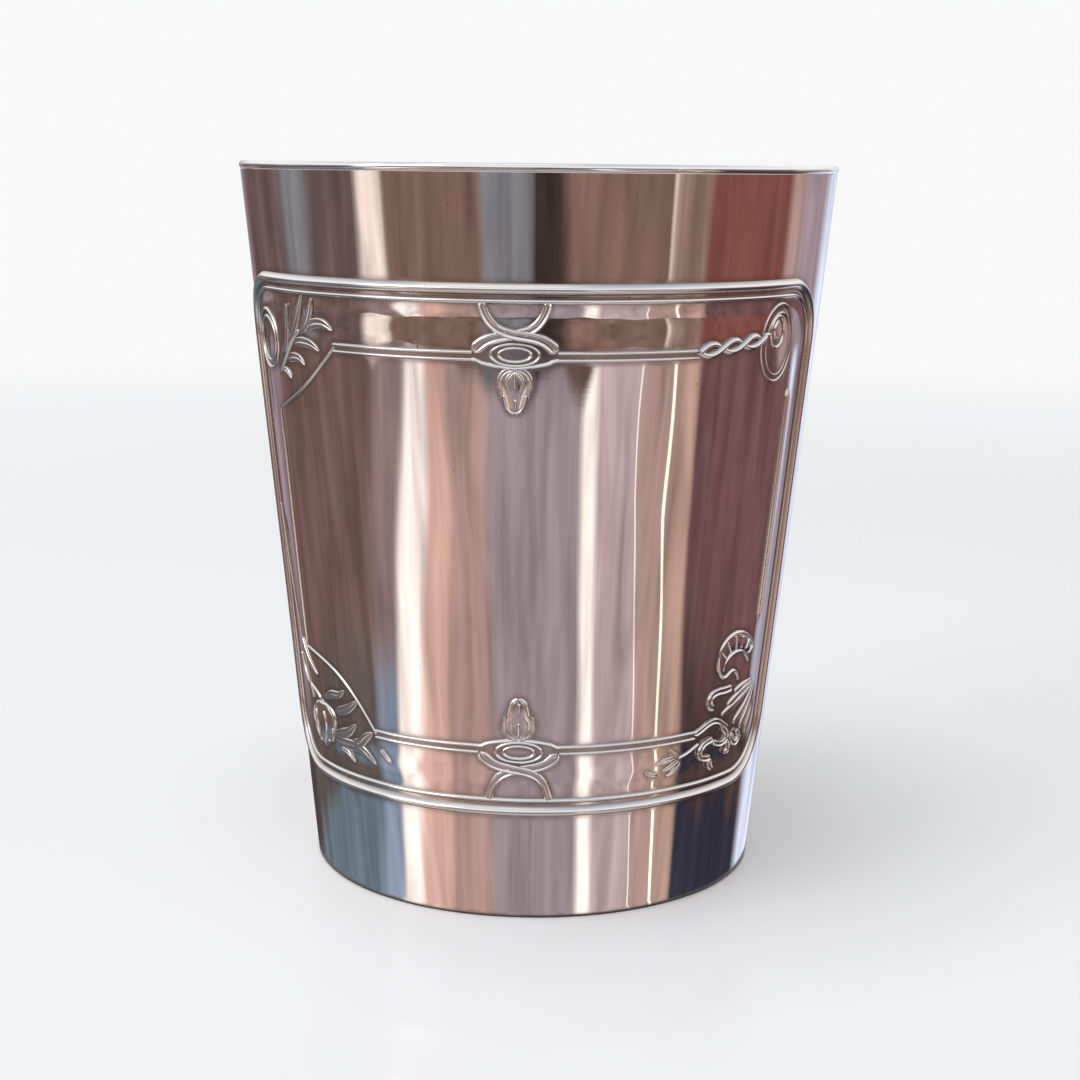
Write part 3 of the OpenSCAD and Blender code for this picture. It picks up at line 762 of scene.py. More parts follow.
def flowerSpray(turn):
    at = motifPlace["flowerSpray"]
    wide = perDegree(at[1])
    longStem = [(-70.6, 23), (-66.8, 15), (-63.3, 8), (-61.0, 4), (-59, 1.5)]
    stem = [((a - at[0]) * wide, (rail["bottom"] + z - at[1]) / math.cos(taper)) for a, z in longStem]
    bell, over = egg((-3.2, 2.6), (-3.2, -2.8), (0.5, 1.5, 2.3, 2.6, 2.6, 2.4, 1.9, 1.2, 0.2), 0.36)
    lip = [(-3.6, 2.35), (-2.2, 2.25), (-1.0, 1.9), (-0.35, 1.2), (-0.3, 0.3), (-0.8, -0.7)]
    fold = (0.24, 0.2, over)
    strips = [
        wire(stem),
        wire([(-8.4, 7), (-7.6, 5.2), (-6.5, 4.2), (-5.4, 3.7), (-4.2, 3.3), (-3.3, 2.7)]),
        leaf([(-7.4, 9), (-6.6, 7.6), (-5.2, 6.3), (-3.6, 5.4)], 0.42),
        bell,
        wire(lip, *fold),
        wire([(-0.9, -0.2), (-1.0, -1.1), (-1.5, -1.75), (-2.3, -2.0)], *fold),
        wire([(-4.0, 2.2), (-5.2, 1.5), (-5.7, 0.2), (-5.5, -1.2), (-4.8, -2.2)], *fold),
        wire([(-4.6, 1.3), (-4.2, 0.1), (-4.3, -1.2), (-3.9, -2.5)], *fold),
        wire([(-2.5, 1.5), (-2.0, 0.3), (-2.2, -1.0), (-3.2, -2.5)], *fold),
        leaf([(-2.2, 3.2), (-0.6, 3.8), (0.9, 4.1), (1.9, 4.8)], 0.52),
        leaf([(-0.1, 2.0), (1.4, 2.4), (2.7, 3.0), (4.1, 4.0)], 0.58),
        leaf([(-0.7, -0.9), (0.9, -0.4), (2.3, 0.2), (3.5, 1.2)], 0.62),
        leaf([(2.6, -1.1), (4.0, -0.8), (5.0, 0), (6.1, 0.8)], 0.64),
        leaf([(-0.5, -1.5), (1.8, -1.4), (4.2, -1.5), (6.3, -2.8)], 0.68),
        leaf([(0.4, -2.2), (1.8, -2.5), (2.9, -3.3)], 0.42),
        leaf([(7.2, -0.9), (7.7, -1.4), (8.6, -2.2)], 0.38),
    ]
    return place(at, strips, turn)


# two strands about a line, in mm; twist is the length of half a turn
cord = {
    "start": (-8.1, -0.15), "end": (1.2, 0.75), "steps": 120, "twist": 2.95, "sway": 0.56,
    "strand": 0.36, "height": 0.32, "lift": 0.1, "over": 0.12,
}


def cordRoundel(turn):
    start, end = np.array(cord["start"]), np.array(cord["end"])
    t = np.linspace(0, 1, cord["steps"] + 1)[:, None]
    axis = start + (end - start) * t
    phase = np.pi * t[:, 0] * np.linalg.norm(end - start) / cord["twist"]
    strips = []
    for flip in (1, -1):
        swayed = axis + np.stack([0 * phase, flip * cord["sway"] * np.sin(phase)], -1)
        lift = cord["lift"] + flip * cord["over"] * np.cos(phase)
        strips.append(strip(swayed, cord["strand"], cord["height"], wireShape, 13, lift))
    strips += [
        wire([(0.7, 0.9), (1.4, 1.15), (2.2, 1.2)]),
        ringWire((4.0, 0.2), 3.1, 4.1, 0.17, 0.12),
        ringWire((4.1, 0.05), 2.35, 3.3, 0.15, 0.09),
        ringWire((3.6, 1.4), 1.25, 1.65, 0.18, 0.17),
        wire([(3.5, 2.6), (2.95, 1.8), (3.1, 0.9), (3.8, 0.6)], 0.2, 0.2),
    ]
    return place(motifPlace["cordRoundel"], strips, turn)


def shellScroll(turn):
    outer = [
        (1.6, 0.4), (1.4, 1.0), (0.8, 1.6), (0.1, 1.75), (-0.6, 1.4), (-1.2, 1.2),
        (-1.8, 1.6), (-2.25, 2.5), (-2.45, 3.6), (-2.1, 4.8), (-1.2, 5.7), (0, 6.1),
        (1.2, 6.0), (2.3, 5.6), (3.3, 5.0), (4.1, 4.2), (4.6, 3.3),
    ]
    inner = [
        (-1.5, 1.9), (-1.35, 2.8), (-0.7, 3.45), (0.3, 3.85),
        (1.2, 3.85), (2.1, 3.6), (2.9, 3.0), (3.5, 2.2),
    ]
    fan = [(-1.9, 2.0), (-1.85, 3.2), (-1.3, 4.4), (-0.2, 4.95), (1.2, 4.95), (2.6, 4.4), (3.7, 3.2)]
    scroll = [
        (0.5, -0.2), (-0.8, -0.28), (-2, -0.25), (-2.9, -0.45),
        (-3.3, -1.05), (-3.1, -1.75), (-2.4, -2.05),
    ]
    shell = spaced(curve(fan))
    flutes = [
        [(-2.1, 4.2), (-1.2, 3.4)], [(-1.3, 5.3), (-0.5, 3.9)], [(0.1, 5.8), (0.4, 4.1)],
        [(1.6, 5.6), (1.4, 4.1)], [(2.9, 5.0), (2.3, 3.8)], [(4.0, 4.0), (3.0, 3.2)],
    ]
    strips = [
        strip(shell, 1.0 * np.sin(np.linspace(0.5, 2.9, len(shell))), 0.2, domeShape, 15),
        wire(outer),
        wire(inner),
        band(curve(scroll), 0.46, 0.3, ribbonShape, 19),
        drop([(4.8, -0.05), (3.2, -0.3), (1.2, -0.85)], 0.42),
        drop([(5.1, -0.4), (2.6, -1.1), (0, -2.2)], 0.46),
        drop([(5.4, -0.7), (2.6, -2.0), (-0.9, -3.2)], 0.52),
        drop([(5.6, -1.0), (4.0, -2.9), (1.7, -4.7)], 0.52),
        drop([(5.9, -1.3), (5.1, -3.3), (3.3, -5.7)], 0.52),
        drop([(6.3, -1.5), (6.2, -3.9), (4.9, -6.5)], 0.52),
    ]
    strips += [wire(line, 0.2, 0.3) for line in flutes]
    return place(motifPlace["shellScroll"], strips, turn)


knot = {"ribbon": 0.38, "height": 0.3, "rise": 0.04}   # each loop lies this much over the last


def ribbonKnot(turn):
    loops = [
        [(-5.2, -4.6), (-4.2, -4.2), (-3.2, -3.75), (-2.2, -3.6), (-1.2, -3.85), (-0.3, -4.4), (0.5, -4.9)],
        [(-0.6, -4.6), (0.2, -5.3), (0.35, -6.1), (-0.4, -6.45), (-1.3, -6.35), (-2.0, -6.0)],
        [(-2.2, -5.6), (-3.5, -5.9), (-4.15, -6.6), (-4.05, -7.3), (-3.3, -7.7), (-2.3, -7.7)],
        [(-2.35, -7.9), (-2.4, -8.6), (-1.9, -9.2)],
        [(0.5, -6.3), (0.7, -7.2), (0.3, -7.9)],
        [(1.2, -5.6), (1.5, -6.6), (2.2, -6.95), (2.75, -6.3), (2.3, -5.5)],
    ]
    strips = []
    for k, line in enumerate(loops):
        strips.append(band(curve(line), knot["ribbon"], knot["height"], ribbonShape, 19, knot["rise"] * k))
    strips += [
        wire([(-4.4, -5.8), (-6.0, -6.6), (-7.3, -7.0)], 0.22, 0.2),
        leaf([(-7.2, -7.0), (-8.2, -6.3), (-8.7, -5.6)], 0.42),
        leaf([(-7.5, -6.9), (-9.0, -7.0), (-10.2, -7.3)], 0.42),
        leaf([(-7.2, -7.2), (-8.3, -7.8), (-9.3, -8.1)], 0.4),
        leaf([(-7.0, -7.5), (-7.8, -8.3), (-8.7, -8.9)], 0.36),
        leaf([(-10.0, -8.6), (-10.8, -8.4), (-11.6, -8.0)], 0.36),
    ]
    return place(motifPlace["shellScroll"], strips, turn)


ornaments = {
    "border_wire": borderWire,
    "border_line": borderLine,
    "inner_rail": innerRail,
    "upper_clasp": upperClasp,
    "lower_clasp": lowerClasp,
    "upper_bud": upperBud,
    "lower_bud": lowerBud,
    "leaf_spray": leafSpray,
    "flower_spray": flowerSpray,
    "cord_roundel": cordRoundel,
    "shell_scroll": shellScroll,
    "ribbon_knot": ribbonKnot,
}
reliefPieces = []
for sideName, turn in (("front", 0), ("rear", 180)):
    for node, build in ornaments.items():
        name = sideName + "".join(word.capitalize() for word in node.split("_"))
        shells = build(turn)
        piece = makePiece(name, f"{sideName}_{node}", silvers["reliefSilver"], shells)
        reliefPieces.append(piece)
print("relief pieces:", len(reliefPieces), "faces:", sum(len(p.data.polygons) for p in reliefPieces))

# wall: drawn in to a flat ring at the foot, with a shallow channel inside the bold border
wallGrid = {
    "columns": 480, "step": 0.8, "innerFrom": 3.0, "innerStep": 2.6, "bendSteps": 10,
    "fineStep": 0.4, "fine": ((10.4, 34.0), (54.0, 69.8)),   # heights with relief on them
    "channel": (0.07, 0.65, 0.35),   # depth, middle inside the border and width
    "cove": (0.13, 3.0, 1.5),
    "coveFoot": 0.2,                 # share of its depth at the table
    "coveRise": 75.0,                # and the mm over which it would grow by a whole one
}


def panelDepth(angle, z):
    # distance inside the bold border, in mm, for the nearer panel
    fromMiddle = np.abs((angle + 90) % 180 - 90)
    wide = perDegree(z)
    x = fromMiddle * wide - (border["angle"] * wide - border["corner"])
    y = np.abs(z - (border["top"] + border["bottom"]) / 2)
    y = y - ((border["top"] - border["bottom"]) / 2 - border["corner"])
    outside = np.hypot(np.maximum(x, 0), np.maximum(y, 0))
    return border["corner"] - outside - np.minimum(np.maximum(x, y), 0)


def hollow(inside, depth, middle, wide):
    return depth * np.exp(-(((inside - middle) / wide) ** 2))


def channel(angle, z):
    inside = panelDepth(angle, z)
    share = np.clip(wallGrid["coveFoot"] + z / wallGrid["coveRise"], 0, 1)
    return -hollow(inside, *wallGrid["channel"]) - share * hollow(inside, *wallGrid["cove"])


def outerHeights(lowest):
    z, made = wallTop, []
    while z > lowest:
        made.append(z)
        fine = any(start < z < end for start, end in wallGrid["fine"])
        z -= wallGrid["fineStep"] if fine else wallGrid["step"]
    return made


def wallProfile():
    # the outer skin, the foot under it, and the inside up to the rim
    edge, fillet, sheet = beaker["footEdge"], beaker["footFillet"], beaker["sheet"]
    lean = (1 - math.sin(taper)) / math.cos(taper)
    thick = sheet / math.cos(taper)
    turns = np.radians(np.linspace(-math.degrees(taper), -90, wallGrid["bendSteps"]))

    def bend(middle, size, z):
        return [(middle + size * math.cos(t), z + size + size * math.sin(t)) for t in turns]

    outer = [(wallRadius(z), z) for z in outerHeights(edge)]
    ringR = wallRadius(0) - (beaker["footBend"] + sheet) * lean - beaker["footRing"]
    foot = bend(wallRadius(0) - edge * lean, edge, 0) + [(ringR, 0.0), (ringR, sheet)]
    inner = bend(wallRadius(sheet) - thick - fillet * lean, fillet, sheet)[::-1]
    rows = [*np.arange(wallGrid["innerFrom"], wallTop - 1, wallGrid["innerStep"]), wallTop]
    return outer, foot, inner + [(wallRadius(z) - thick, z) for z in rows]


outerSkin, footSkin, innerSkin = wallProfile()
wallPoints, wallFaces = lathe(outerSkin + footSkin + innerSkin, wallGrid["columns"])
angles = np.linspace(0, 360, wallGrid["columns"], endpoint=False)[None, :]
heights = np.array([z for _, z in outerSkin])[:, None]
wallPoints[: len(outerSkin)] = onWall(angles, heights + 0 * angles, channel(angles, heights))

# darker on the wall beside the relief, partly patina and partly painted shade; inside, painted shade darker
# towards the bottom
filmAndShadeReach = {
    "beside": 0.45,                # mm from the relief
    "most": 0.85, "climb": 9.0,    # inside, and mm up the wall
    "spread": 4.0,                 # mm in from the bottom's edge
}
reliefPoints = [vertex.co for piece in reliefPieces for vertex in piece.data.vertices]
nearRelief = KDTree(len(reliefPoints))
for k, point in enumerate(reliefPoints):
    nearRelief.insert(point, k)
nearRelief.balance()
wallRise = np.ones(wallPoints.shape[:2])
for i, j in np.ndindex(len(outerSkin), wallGrid["columns"]):
    apart = nearRelief.find(wallPoints[i, j])[2] / mm
    wallRise[i, j] = 1 - math.exp(-((apart / filmAndShadeReach["beside"]) ** 2))
innerHeights = np.array([z for _, z in innerSkin])[:, None]
# painted shade: the inside darker towards the bottom
wallRise[-len(innerSkin):] = 1 - filmAndShadeReach["most"] * np.exp(-innerHeights / filmAndShadeReach["climb"])
wallInside = np.zeros(wallPoints.shape[:2])
wallInside[-len(innerSkin):] = 1
wallShell = (wallPoints, wallFaces, wallRise)
wall = makePiece("wallSkin", "wall", silvers["wallSilver"], [wallShell], wallInside)
print("wall faces:", len(wall.data.polygons))

# lip: round wire, flat where it sits on the wall's edge
lipShape = {"wide": 0.43, "section": (-62, 242), "steps": 24}   # section in degrees, 90 is up
lipMiddle = wallRadius(wallTop) - beaker["sheet"] / math.cos(taper) / 2
lipHalf = beaker["lipHeight"] / 2
lipProfile = [
    (lipMiddle + lipShape["wide"] * math.cos(t), max(wallTop, wallTop + lipHalf + lipHalf * math.sin(t)))
    for t in np.radians(np.linspace(*lipShape["section"], lipShape["steps"]))
]
lipPoints, lipFaces = lathe(lipProfile, wallGrid["columns"])
lipShell = (lipPoints, lipFaces, np.ones(lipPoints.shape[:2]))
makePiece("lipBand", "lip_band", silvers["lipSilver"], [lipShell])

# bottom: disc let in on the foot ring, a little sunk in the middle
bottomShape = {
    "fit": 0.05, "sunk": 0.12, "hollow": 0.2,
    "seat": 0.86,   # share of the radius where the flat seat under it begins
    "rings": 24, "smallest": 0.02, "columns": 160,
}
low, high = beaker["sheet"], beaker["sheet"] + beaker["bottomThick"]
bendTop = beaker["sheet"] + beaker["footBend"]
discR = wallRadius(bendTop) - bendTop - bottomShape["fit"]
rings = np.linspace(bottomShape["smallest"], 1, bottomShape["rings"])
discTop = [(discR * t, high - bottomShape["sunk"] * (1 - t * t)) for t in rings]
discUnder = [
    (discR * t, low + bottomShape["hollow"] * max(0.0, 1 - (t / bottomShape["seat"]) ** 2))
    for t in rings[::-1]
]
bottomPoints, bottomFaces = lathe(discTop + discUnder, bottomShape["columns"], solid=True)
fromEdge = discR * (1 - np.concatenate([rings, rings[::-1]]))[:, None]
# painted shade: the bottom darker towards its edge, in the corner against the wall
bottomRise = np.ones(bottomPoints.shape[:2]) - filmAndShadeReach["most"] * np.exp(-fromEdge / filmAndShadeReach["spread"])
bottomShell = (bottomPoints, bottomFaces, bottomRise)
makePiece("bottomDisc", "bottom", silvers["bottomSilver"], [bottomShell])
print("lip and bottom made")

# stage
stageLook = {
    "pale": (0.94, 0.94, 0.945),
    "overhead": (0.55, 0.62, 0.74),   # cooler straight up
    "overheadFrom": (0.4, 1.0),
    # the softbox painted into the world for the polish: its soft edge and colour
    "softbox": (0.915, 0.955),        # cosines of its soft edge
    "bright": (0.99, 0.985, 0.975),
    "light": (0.94, 0.96, 1.0),
    "lightPower": 0.45,
}
floorLook = {
    "tone": (0.93, 0.93, 0.935),
    "grain": 1.02,                  # how much lighter its pale clouds are
    "reach": 1.6,
    "corners": 96,
    "fade": (0.2, 0.62),
    "sheen": (0.04, 0.09),          # glossy only near the foot
    "sheenMost": 0.2,
    "contact": (0.0257, 0.0263),    # how far from the axis the polish still mirrors the floor itself
    # painted shade: the dark tone the polish sees on the floor under the foot's edge
    "creviceShade": (0.10, 0.085, 0.08),   # and its tone there, under the foot's edge
}
lamps = {
    "overheadSoftbox": {"at": (-0.25, -0.25, 1.6), "size": 1.2, "power": 14.0, "mirrored": False},
    "leftFill": {"at": (-1.4, -1.0, 1.0), "size": 1.0, "power": 6.0, "mirrored": True},
}


def makeWorld():
    world = bpy.data.worlds.new("paleStudio")
    scene.world = world
    world.use_nodes = True
    tree = world.node_tree
    tree.nodes.clear()
    surface = addNode(tree, "ShaderNodeOutputWorld", (600, 0)).inputs["Surface"]
    rays = addNode(tree, "ShaderNodeLightPath", (-600, 300)).outputs
    seen = addMath(tree, "ADD", (-300, 300), rays["Is Camera Ray"], rays["Is Glossy Ray"])
    seen = addMath(tree, "ADD", (-100, 300), seen, rays["Is Transmission Ray"])
    seen.node.use_clamp = True
    light = addNode(
        tree, "ShaderNodeBackground", (100, 0),
        Color=(*stageLook["light"], 1), Strength=stageLook["lightPower"],
    )
    coords = addCoords(tree, (-900, -200), "Generated")
    up = addParts(tree, (-700, -200), coords)["Z"]
    up = addShare(tree, (-500, -200), up, stageLook["overheadFrom"])
    sky = addBlend(tree, (-200, -200), up, stageLook["pale"], stageLook["overhead"])
    # the softbox painted into the world as the polish sees it, a painted highlight, as the lamp itself is
    # hidden from the polish
    facing = addVector(tree, "DOT_PRODUCT", (-500, -500), coords, "Value")
    facing.node.inputs[1].default_value = Vector(lamps["overheadSoftbox"]["at"]).normalized()
    patch = addShare(tree, (-300, -500), facing, stageLook["softbox"])
    pale = addNode(tree, "ShaderNodeBackground", (100, -200), Strength=1.0)
    tree.links.new(addBlend(tree, (-100, -300), patch, sky, stageLook["bright"]), pale.inputs["Color"])
    addMixShader(tree, (350, 0), seen, light.outputs[0], pale.outputs[0], surface)


def addStageObject(name, verts, faces):
    mesh = bpy.data.meshes.new(name)
    mesh.from_pydata(verts, [], faces)
    obj = bpy.data.objects.new(name, mesh)
    scene.collection.objects.link(obj)
    return obj


def makeFloor():
    count = floorLook["corners"]
    turns = np.linspace(0, 2 * np.pi, count, endpoint=False)
    outline = [(floorLook["reach"] * math.cos(t), floorLook["reach"] * math.sin(t), 0.0) for t in turns]
    floor = addStageObject("floor", outline, [tuple(range(count))])
    material, tree, surface = newMaterial("paleFloor", (700, 0))
    link = tree.links.new
    shader = addNode(tree, "ShaderNodeBsdfPrincipled", (100, 0), Roughness=0.16)
    coords = addCoords(tree, (-700, 0))
    grain = addNoise(tree, (-500, 200), coords, Scale=9.0, Detail=3.0)
    lighter = tuple(min(1, c * floorLook["grain"]) for c in floorLook["tone"])
    tone = addBlend(tree, (-200, 200), grain, floorLook["tone"], lighter)
    away = addVector(tree, "LENGTH", (-500, -200), coords, "Value")
    fade = addShare(tree, (-200, -200), away, floorLook["fade"])
    sheen = addShare(tree, (-200, 0), away, floorLook["sheen"], (floorLook["sheenMost"], 0.0))
    link(sheen, shader.inputs["Specular IOR Level"])
    # further out the cards take the floor's place in the polish
    mirrored = addNode(tree, "ShaderNodeLightPath", (-500, -600)).outputs["Is Glossy Ray"]
    # to glossy rays the floor near the foot is painted dark, a painted shade under the foot's edge
    link(addBlend(tree, (0, 200), mirrored, tone, floorLook["creviceShade"]), shader.inputs["Base Color"])
    beyond = addShare(tree, (-200, -450), away, floorLook["contact"])
    unseen = addMath(tree, "MULTIPLY", (0, -500), mirrored, beyond)
    unseen = addMath(tree, "MAXIMUM", (200, -400), unseen, fade)
    clear = addNode(tree, "ShaderNodeBsdfTransparent", (100, -300))
    addMixShader(tree, (450, 0), unseen, shader.outputs[0], clear.outputs[0], surface)
    floor.data.materials.append(material)


# painted cards round the beaker, hidden from the camera, which its polish mirrors: they glow though they
# are no lamps, and their paint is the painted reflection of the surroundings
cardTones = {
    "white": (1.12, 1.0, 0.94),
    "ice": (0.72, 0.77, 0.95),
    "gold": (1.7, 1.47, 1.15),
    "glint": (1.0, 0.86, 0.85),
    "blush": (0.95, 0.78, 0.70),
    "rose": (0.68, 0.43, 0.36),
    "lilac": (0.51, 0.38, 0.395),
    "sand": (0.43, 0.29, 0.26),
    "tan": (0.47, 0.31, 0.25),
    "camel": (0.26, 0.17, 0.135),
    "mauve": (0.33, 0.262, 0.285),
    "plum": (0.34, 0.255, 0.30),
    "ash": (0.22, 0.21, 0.235),
    "slate": (0.15, 0.195, 0.24),
    "navy": (0.035, 0.033, 0.052),
    "brown": (0.15, 0.096, 0.096),
    "umber": (0.175, 0.106, 0.09),
    "cocoa": (0.215, 0.13, 0.103),
    "dusk": (0.27, 0.185, 0.185),
    "haze": (0.23, 0.275, 0.37),
    "mist": (0.29, 0.345, 0.48),
    "moss": (0.115, 0.092, 0.085),
    "soot": (0.075, 0.048, 0.047),
    "rust": (0.22, 0.08, 0.065),
    "maroon": (0.165, 0.083, 0.085),
    "dark": (0.045, 0.03, 0.028),
    "shade": (0.085, 0.06, 0.065),
    "pebble": (0.62, 0.605, 0.60),
}
# tone, from and to in degrees to the right of the camera
lowCards = [
    ("plum", -180, -166), ("umber", -150, -91), ("dusk", -84, -75), ("white", -71.5, -62),
    ("rose", -56, -43), ("sand", -38, -22), ("mauve", -17, 19),
    ("white", 20.9, 24.2), ("lilac", 26, 42), ("sand", 44, 56), ("tan", 58.6, 68),
    ("maroon", 70.5, 129), ("ice", 139, 160), ("plum", 175, 180),
]
# thin bright streaks on the cards: painted glints in the polish
thinStreaks = [("glint", 43.0, 0.5), ("gold", 57.4, 1.0)]   # tone, middle and half width
highCards = [
    ("plum", -180, -162), ("brown", -150, -118), ("ash", -110, -101), ("brown", -94, -74),
    ("blush", -70.5, -62), ("cocoa", -60, -22), ("ash", -19.5, -2), ("dark", -0.5, 8),
    ("cocoa", 14, 51), ("blush", 52.3, 52.7), ("camel", 53.6, 66), ("rust", 69, 108),
    ("sand", 113, 116), ("plum", 126, 140), ("ice", 150, 160), ("plum", 175, 180),
]
# what changes lower down, and again at the foot
nearTones = {"plum": "shade", "umber": "moss", "dusk": "haze", "maroon": "soot"}
footTones = {"plum": "shade", "umber": "slate", "dusk": "mist", "maroon": "navy"}
cardSet = {
    "radius": 1.2,             # far enough off for the streaks to run straight up the wall
    "middle": 0.04,
    "reach": (-88, 20),        # lowest and highest, in degrees over the level
    "ground": (-65, -48),      # a soft grey ground takes over under them
    "groundShare": 0.75,
    "sky": (-2, 18),           # the backdrop's paleness shows over them
    "under": (-44, -38),       # where the dark underside gives way
    "underShare": 0.4,         # how much of the paint is left in it
    "foot": (-33.2, -31.6),    # where the foot tones give way to the near ones
    "near": (-30.5, -26.5),    # these to the low cards
    "edge": (-17.4, -16.2),    # and these to the high cards
    "belt": (-14.5, -13.8),    # the high cards are darker up to here
    "beltShade": 0.5,
    "ragged": 6.0,             # degrees these edges wander
    "climb": 25.0,             # and rise per turn away from the camera
    "sway": 0.012,             # how far the streaks wander, in turns
    "lean": 1.05,              # turn of the left streaks per degree over the foot
    "leanFrom": -31.0,
    "leanSide": (0.08, 0.15),  # turns to the left where the lean sets in
    "bend": 0.75,              # turn of the right streaks per degree towards the foot
    "bendFrom": -19.0,
    "bendSide": (0.0, 0.17),
    "turn": 4.0,               # degrees, to face the camera
    "grid": (37, 180),         # rows and columns
    "drift": 4.0,              # scale of the wandering
    "fine": (70.0, 0.03),      # fine streaks, per turn and per degree up
    "fineShade": 0.44,
    "clouds": 9.0,
    "cloudShade": 1.2,
    "leastShade": 0.18,
}


def addRamp(tree, at, cards, value):
    stops = [(edge, cardTones[tone]) for tone, start, stop in cards for edge in (start, stop)]
    ramp = addNode(tree, "ShaderNodeValToRGB", at)
    while len(ramp.color_ramp.elements) < len(stops):
        ramp.color_ramp.elements.new(0.5)
    for element, (azimuth, color) in zip(ramp.color_ramp.elements, stops):
        element.position = (azimuth + 180) / 360
        element.color = (*color, 1)
    tree.links.new(value, ramp.inputs[0])
    return ramp.outputs[0]


def paintCards(tree, surface):
    link = tree.links.new
    unit = addVector(tree, "NORMALIZE", (-1300, 0), addCoords(tree, (-1500, 0)))
    x, y, z = addParts(tree, (-1100, 0), unit)
    back = addMath(tree, "MULTIPLY", (-900, -100), y, -1.0)
    azimuth = addMath(tree, "ARCTAN2", (-700, 0), x, back)
    azimuth = addMath(tree, "DIVIDE", (-500, 0), azimuth, 2 * math.pi)
    height = addMath(tree, "ARCSINE", (-900, -300), z)
    height = addMath(tree, "MULTIPLY", (-700, -300), height, 180 / math.pi)
    # streaks and edges wander a little
    drift = addNoise(tree, (-1100, 300), unit, Scale=cardSet["drift"], Detail=1.0)
    wander = addMath(tree, "SUBTRACT", (-900, 300), drift, 0.5)
    turned = addMath(tree, "ADD", (-300, 0), azimuth, 0.5)
    moved = addMath(tree, "MULTIPLY_ADD", (-500, 300), wander, cardSet["sway"], turned)
    ragged = addMath(tree, "MULTIPLY_ADD", (-500, -300), wander, cardSet["ragged"], height)
    climb = addMath(tree, "ABSOLUTE", (-500, -500), azimuth)
    climb = addMath(tree, "MULTIPLY", (-300, -500), climb, cardSet["climb"])
    ragged = addMath(tree, "SUBTRACT", (-300, -300), ragged, climb)
    # the streaks on the left stand upright instead of following the taper, those on the right bend below
    left = addMath(tree, "MULTIPLY", (-900, 800), azimuth, -1.0)
    left = addShare(tree, (-700, 800), left, cardSet["leanSide"])
    lean = addMath(tree, "SUBTRACT", (-700, 600), height, cardSet["leanFrom"])
    lean = addMath(tree, "MULTIPLY", (-500, 600), lean, -cardSet["lean"] / 360)
    leaned = addMath(tree, "MULTIPLY_ADD", (-300, 600), lean, left, moved)
    right = addShare(tree, (-700, 1000), azimuth, cardSet["bendSide"])
    bend = addMath(tree, "SUBTRACT", (-700, 1200), cardSet["bendFrom"], height)
    bend = addMath(tree, "MAXIMUM", (-500, 1200), bend, 0.0)
    bend = addMath(tree, "MULTIPLY", (-300, 1200), bend, -cardSet["bend"] / 360)
    leaned = addMath(tree, "MULTIPLY_ADD", (-200, 800), bend, right, leaned)
    ramps = []
    for k, changed in enumerate(({}, nearTones, footTones)):
        cards = [(changed.get(tone, tone), start, stop) for tone, start, stop in lowCards]
        ramps.append(addRamp(tree, (0, 300 + 300 * k), cards, leaned))
    low, near, foot = ramps
    near = addBlend(tree, (500, 700), addShare(tree, (300, 900), ragged, cardSet["foot"]), foot, near)
    paint = addBlend(tree, (500, 400), addShare(tree, (300, 600), ragged, cardSet["near"]), near, low)
    for tone, middle, half in thinStreaks:
        apart = addMath(tree, "SUBTRACT", (500, 1000), leaned, (middle + 180) / 360)
        apart = addMath(tree, "ABSOLUTE", (600, 1000), apart)
        share = addShare(tree, (700, 1000), apart, (half / 360, half / 3 / 360))
        paint = addBlend(tree, (800, 800), share, paint, cardTones[tone])
    high = addRamp(tree, (0, 0), highCards, moved)
    belt = addMath(tree, "MULTIPLY_ADD", (0, -150), wander, cardSet["ragged"] / 3, height)
    belt = addShare(tree, (200, -150), belt, cardSet["belt"], (1 - cardSet["beltShade"], 1.0))
    high = addBlend(tree, (400, 0), belt, cardTones["dark"], high)
    paint = addBlend(tree, (700, 300), addShare(tree, (500, 200), ragged, cardSet["edge"]), paint, high)
    # painted dark underside, which the relief's undersides mirror as painted shade
    lit = addShare(tree, (700, 0), height, cardSet["under"], (cardSet["underShare"], 1.0))
    paint = addBlend(tree, (900, 200), lit, cardTones["dark"], paint)
    above = addShare(tree, (900, 500), height, cardSet["ground"], (1 - cardSet["groundShare"], 1.0))
    paint = addBlend(tree, (1100, 300), above, cardTones["pebble"], paint)
    # fine streaks along the cards and broad clouds over them
    fine = addNode(tree, "ShaderNodeCombineXYZ", (0, -300))
    for k, value in enumerate((azimuth, height)):
        link(addMath(tree, "MULTIPLY", (-200, -250 - 200 * k), value, cardSet["fine"][k]), fine.inputs[k])
    streaks = addNoise(tree, (200, -300), fine.outputs[0], Scale=1.0, Detail=3.0, Roughness=0.6)
    clouds = addNoise(tree, (200, -600), unit, Scale=cardSet["clouds"], Detail=2.0, Distortion=0.4)
    shade = addMath(tree, "MULTIPLY_ADD", (400, -400), clouds, cardSet["cloudShade"], cardSet["leastShade"])
    shade = addMath(tree, "MULTIPLY_ADD", (600, -400), streaks, cardSet["fineShade"], shade)
    # the cards glow, though they are no lamps: painted reflections for the polish
    glow = addNode(tree, "ShaderNodeEmission", (1300, 100))
    link(paint, glow.inputs["Color"])
    link(shade, glow.inputs["Strength"])
    clear = addNode(tree, "ShaderNodeBsdfTransparent", (1300, -100))
    facing = addNode(tree, "ShaderNodeNewGeometry", (1000, -200))
    gone = addShare(tree, (1000, -500), height, cardSet["sky"])
    gone = addMath(tree, "MAXIMUM", (1300, -300), facing.outputs["Backfacing"], gone)
    addMixShader(tree, (1600, 0), gone, glow.outputs[0], clear.outputs[0], surface)


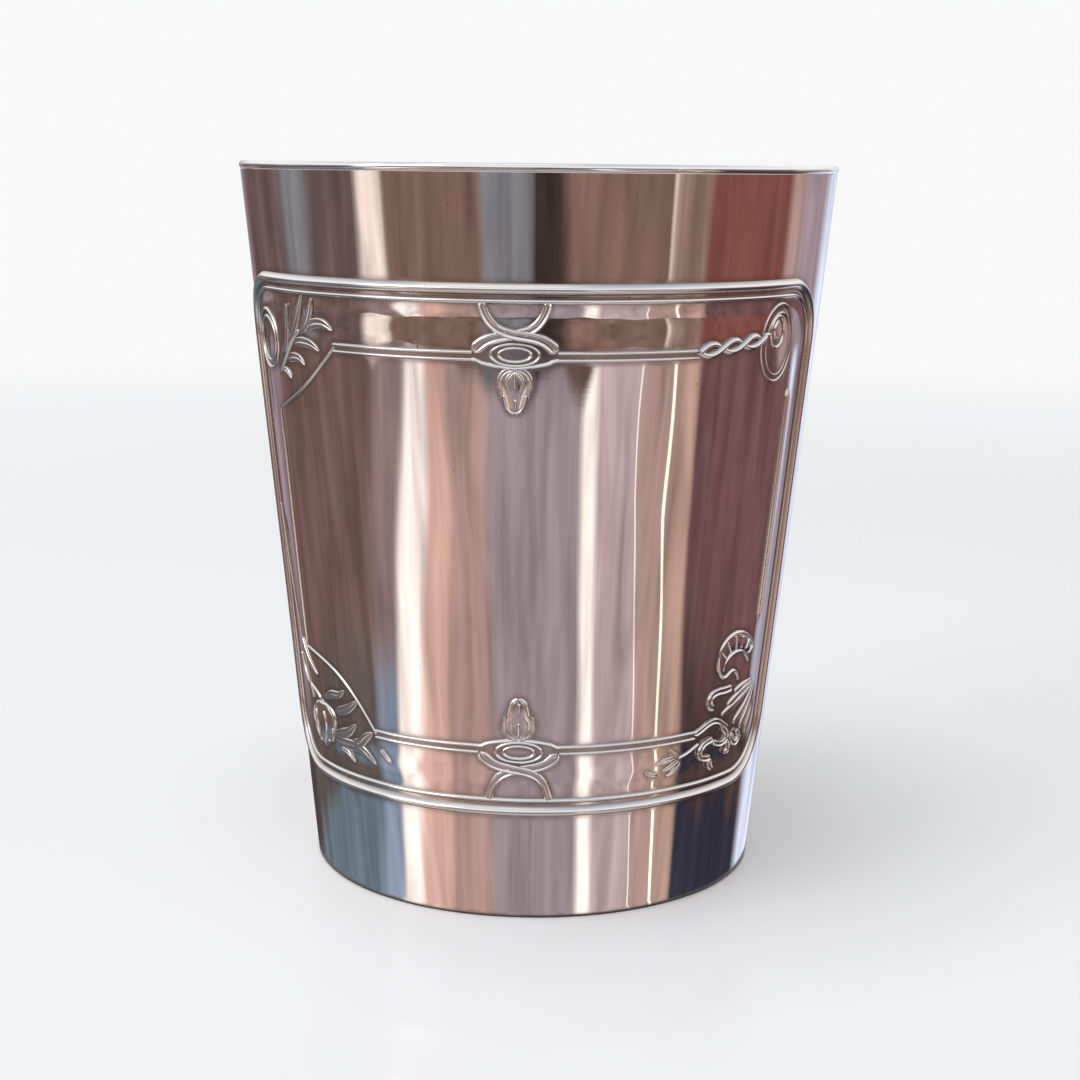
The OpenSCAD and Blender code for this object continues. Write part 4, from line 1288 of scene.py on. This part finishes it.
def makeCards():
    rows, columns = cardSet["grid"]
    verts = [
        Vector((math.cos(e) * math.sin(t), -math.cos(e) * math.cos(t), math.sin(e))) * cardSet["radius"]
        for e in np.radians(np.linspace(*cardSet["reach"], rows))
        for t in np.linspace(0, 2 * np.pi, columns, endpoint=False)
    ]
    cards = addStageObject("studioCards", verts, gridFaces(rows, columns))
    cards.data.shade_smooth()
    cards.location.z = cardSet["middle"]
    cards.rotation_euler.z = math.radians(cardSet["turn"])
    cards.visible_camera = False
    cards.visible_diffuse = False
    cards.visible_shadow = False
    material, tree, surface = newMaterial("cardPaint", (1800, 0))
    material.cycles.emission_sampling = "NONE"
    paintCards(tree, surface)
    cards.data.materials.append(material)


def makeLamps():
    for name, look in lamps.items():
        data = bpy.data.lights.new(name, "AREA")
        data.shape = "SQUARE"
        data.size = look["size"]
        data.energy = look["power"]
        lamp = bpy.data.objects.new(name, data)
        scene.collection.objects.link(lamp)
        lamp.location = look["at"]
        lamp.rotation_euler = (-lamp.location).to_track_quat("-Z", "Y").to_euler()
        lamp.visible_glossy = look["mirrored"]


# camera, from the photograph's viewing angle
shot = {
    "distance": 227.6,   # from the beaker's axis, mm
    "height": 79.8,
    "azimuth": 4.0,
    "pitch": 10.73,
    "yaw": 0.14,
    "roll": 0.6,
    "lens": 65.94,
    "sensor": 36.0,
    "near": 5.0,         # nothing closer is drawn, mm
}


def makeCamera():
    data = bpy.data.cameras.new("camera")
    data.lens = shot["lens"]
    data.sensor_width = shot["sensor"]
    data.clip_start = shot["near"] * mm
    camera = bpy.data.objects.new("camera", data)
    scene.collection.objects.link(camera)
    turn = math.radians(shot["azimuth"])
    aim = (
        Matrix.Rotation(turn - math.radians(shot["yaw"]), 4, "Z")
        @ Matrix.Rotation(math.radians(90 - shot["pitch"]), 4, "X")
        @ Matrix.Rotation(math.radians(shot["roll"]), 4, "Z")
    )
    eye = (shot["distance"] * math.sin(turn), -shot["distance"] * math.cos(turn), shot["height"])
    camera.matrix_world = Matrix.Translation([v * mm for v in eye]) @ aim
    scene.camera = camera


makeWorld()
makeFloor()
makeCards()
makeLamps()
makeCamera()
scene.view_settings.view_transform = "Standard"
print("stage, lamps and camera made")
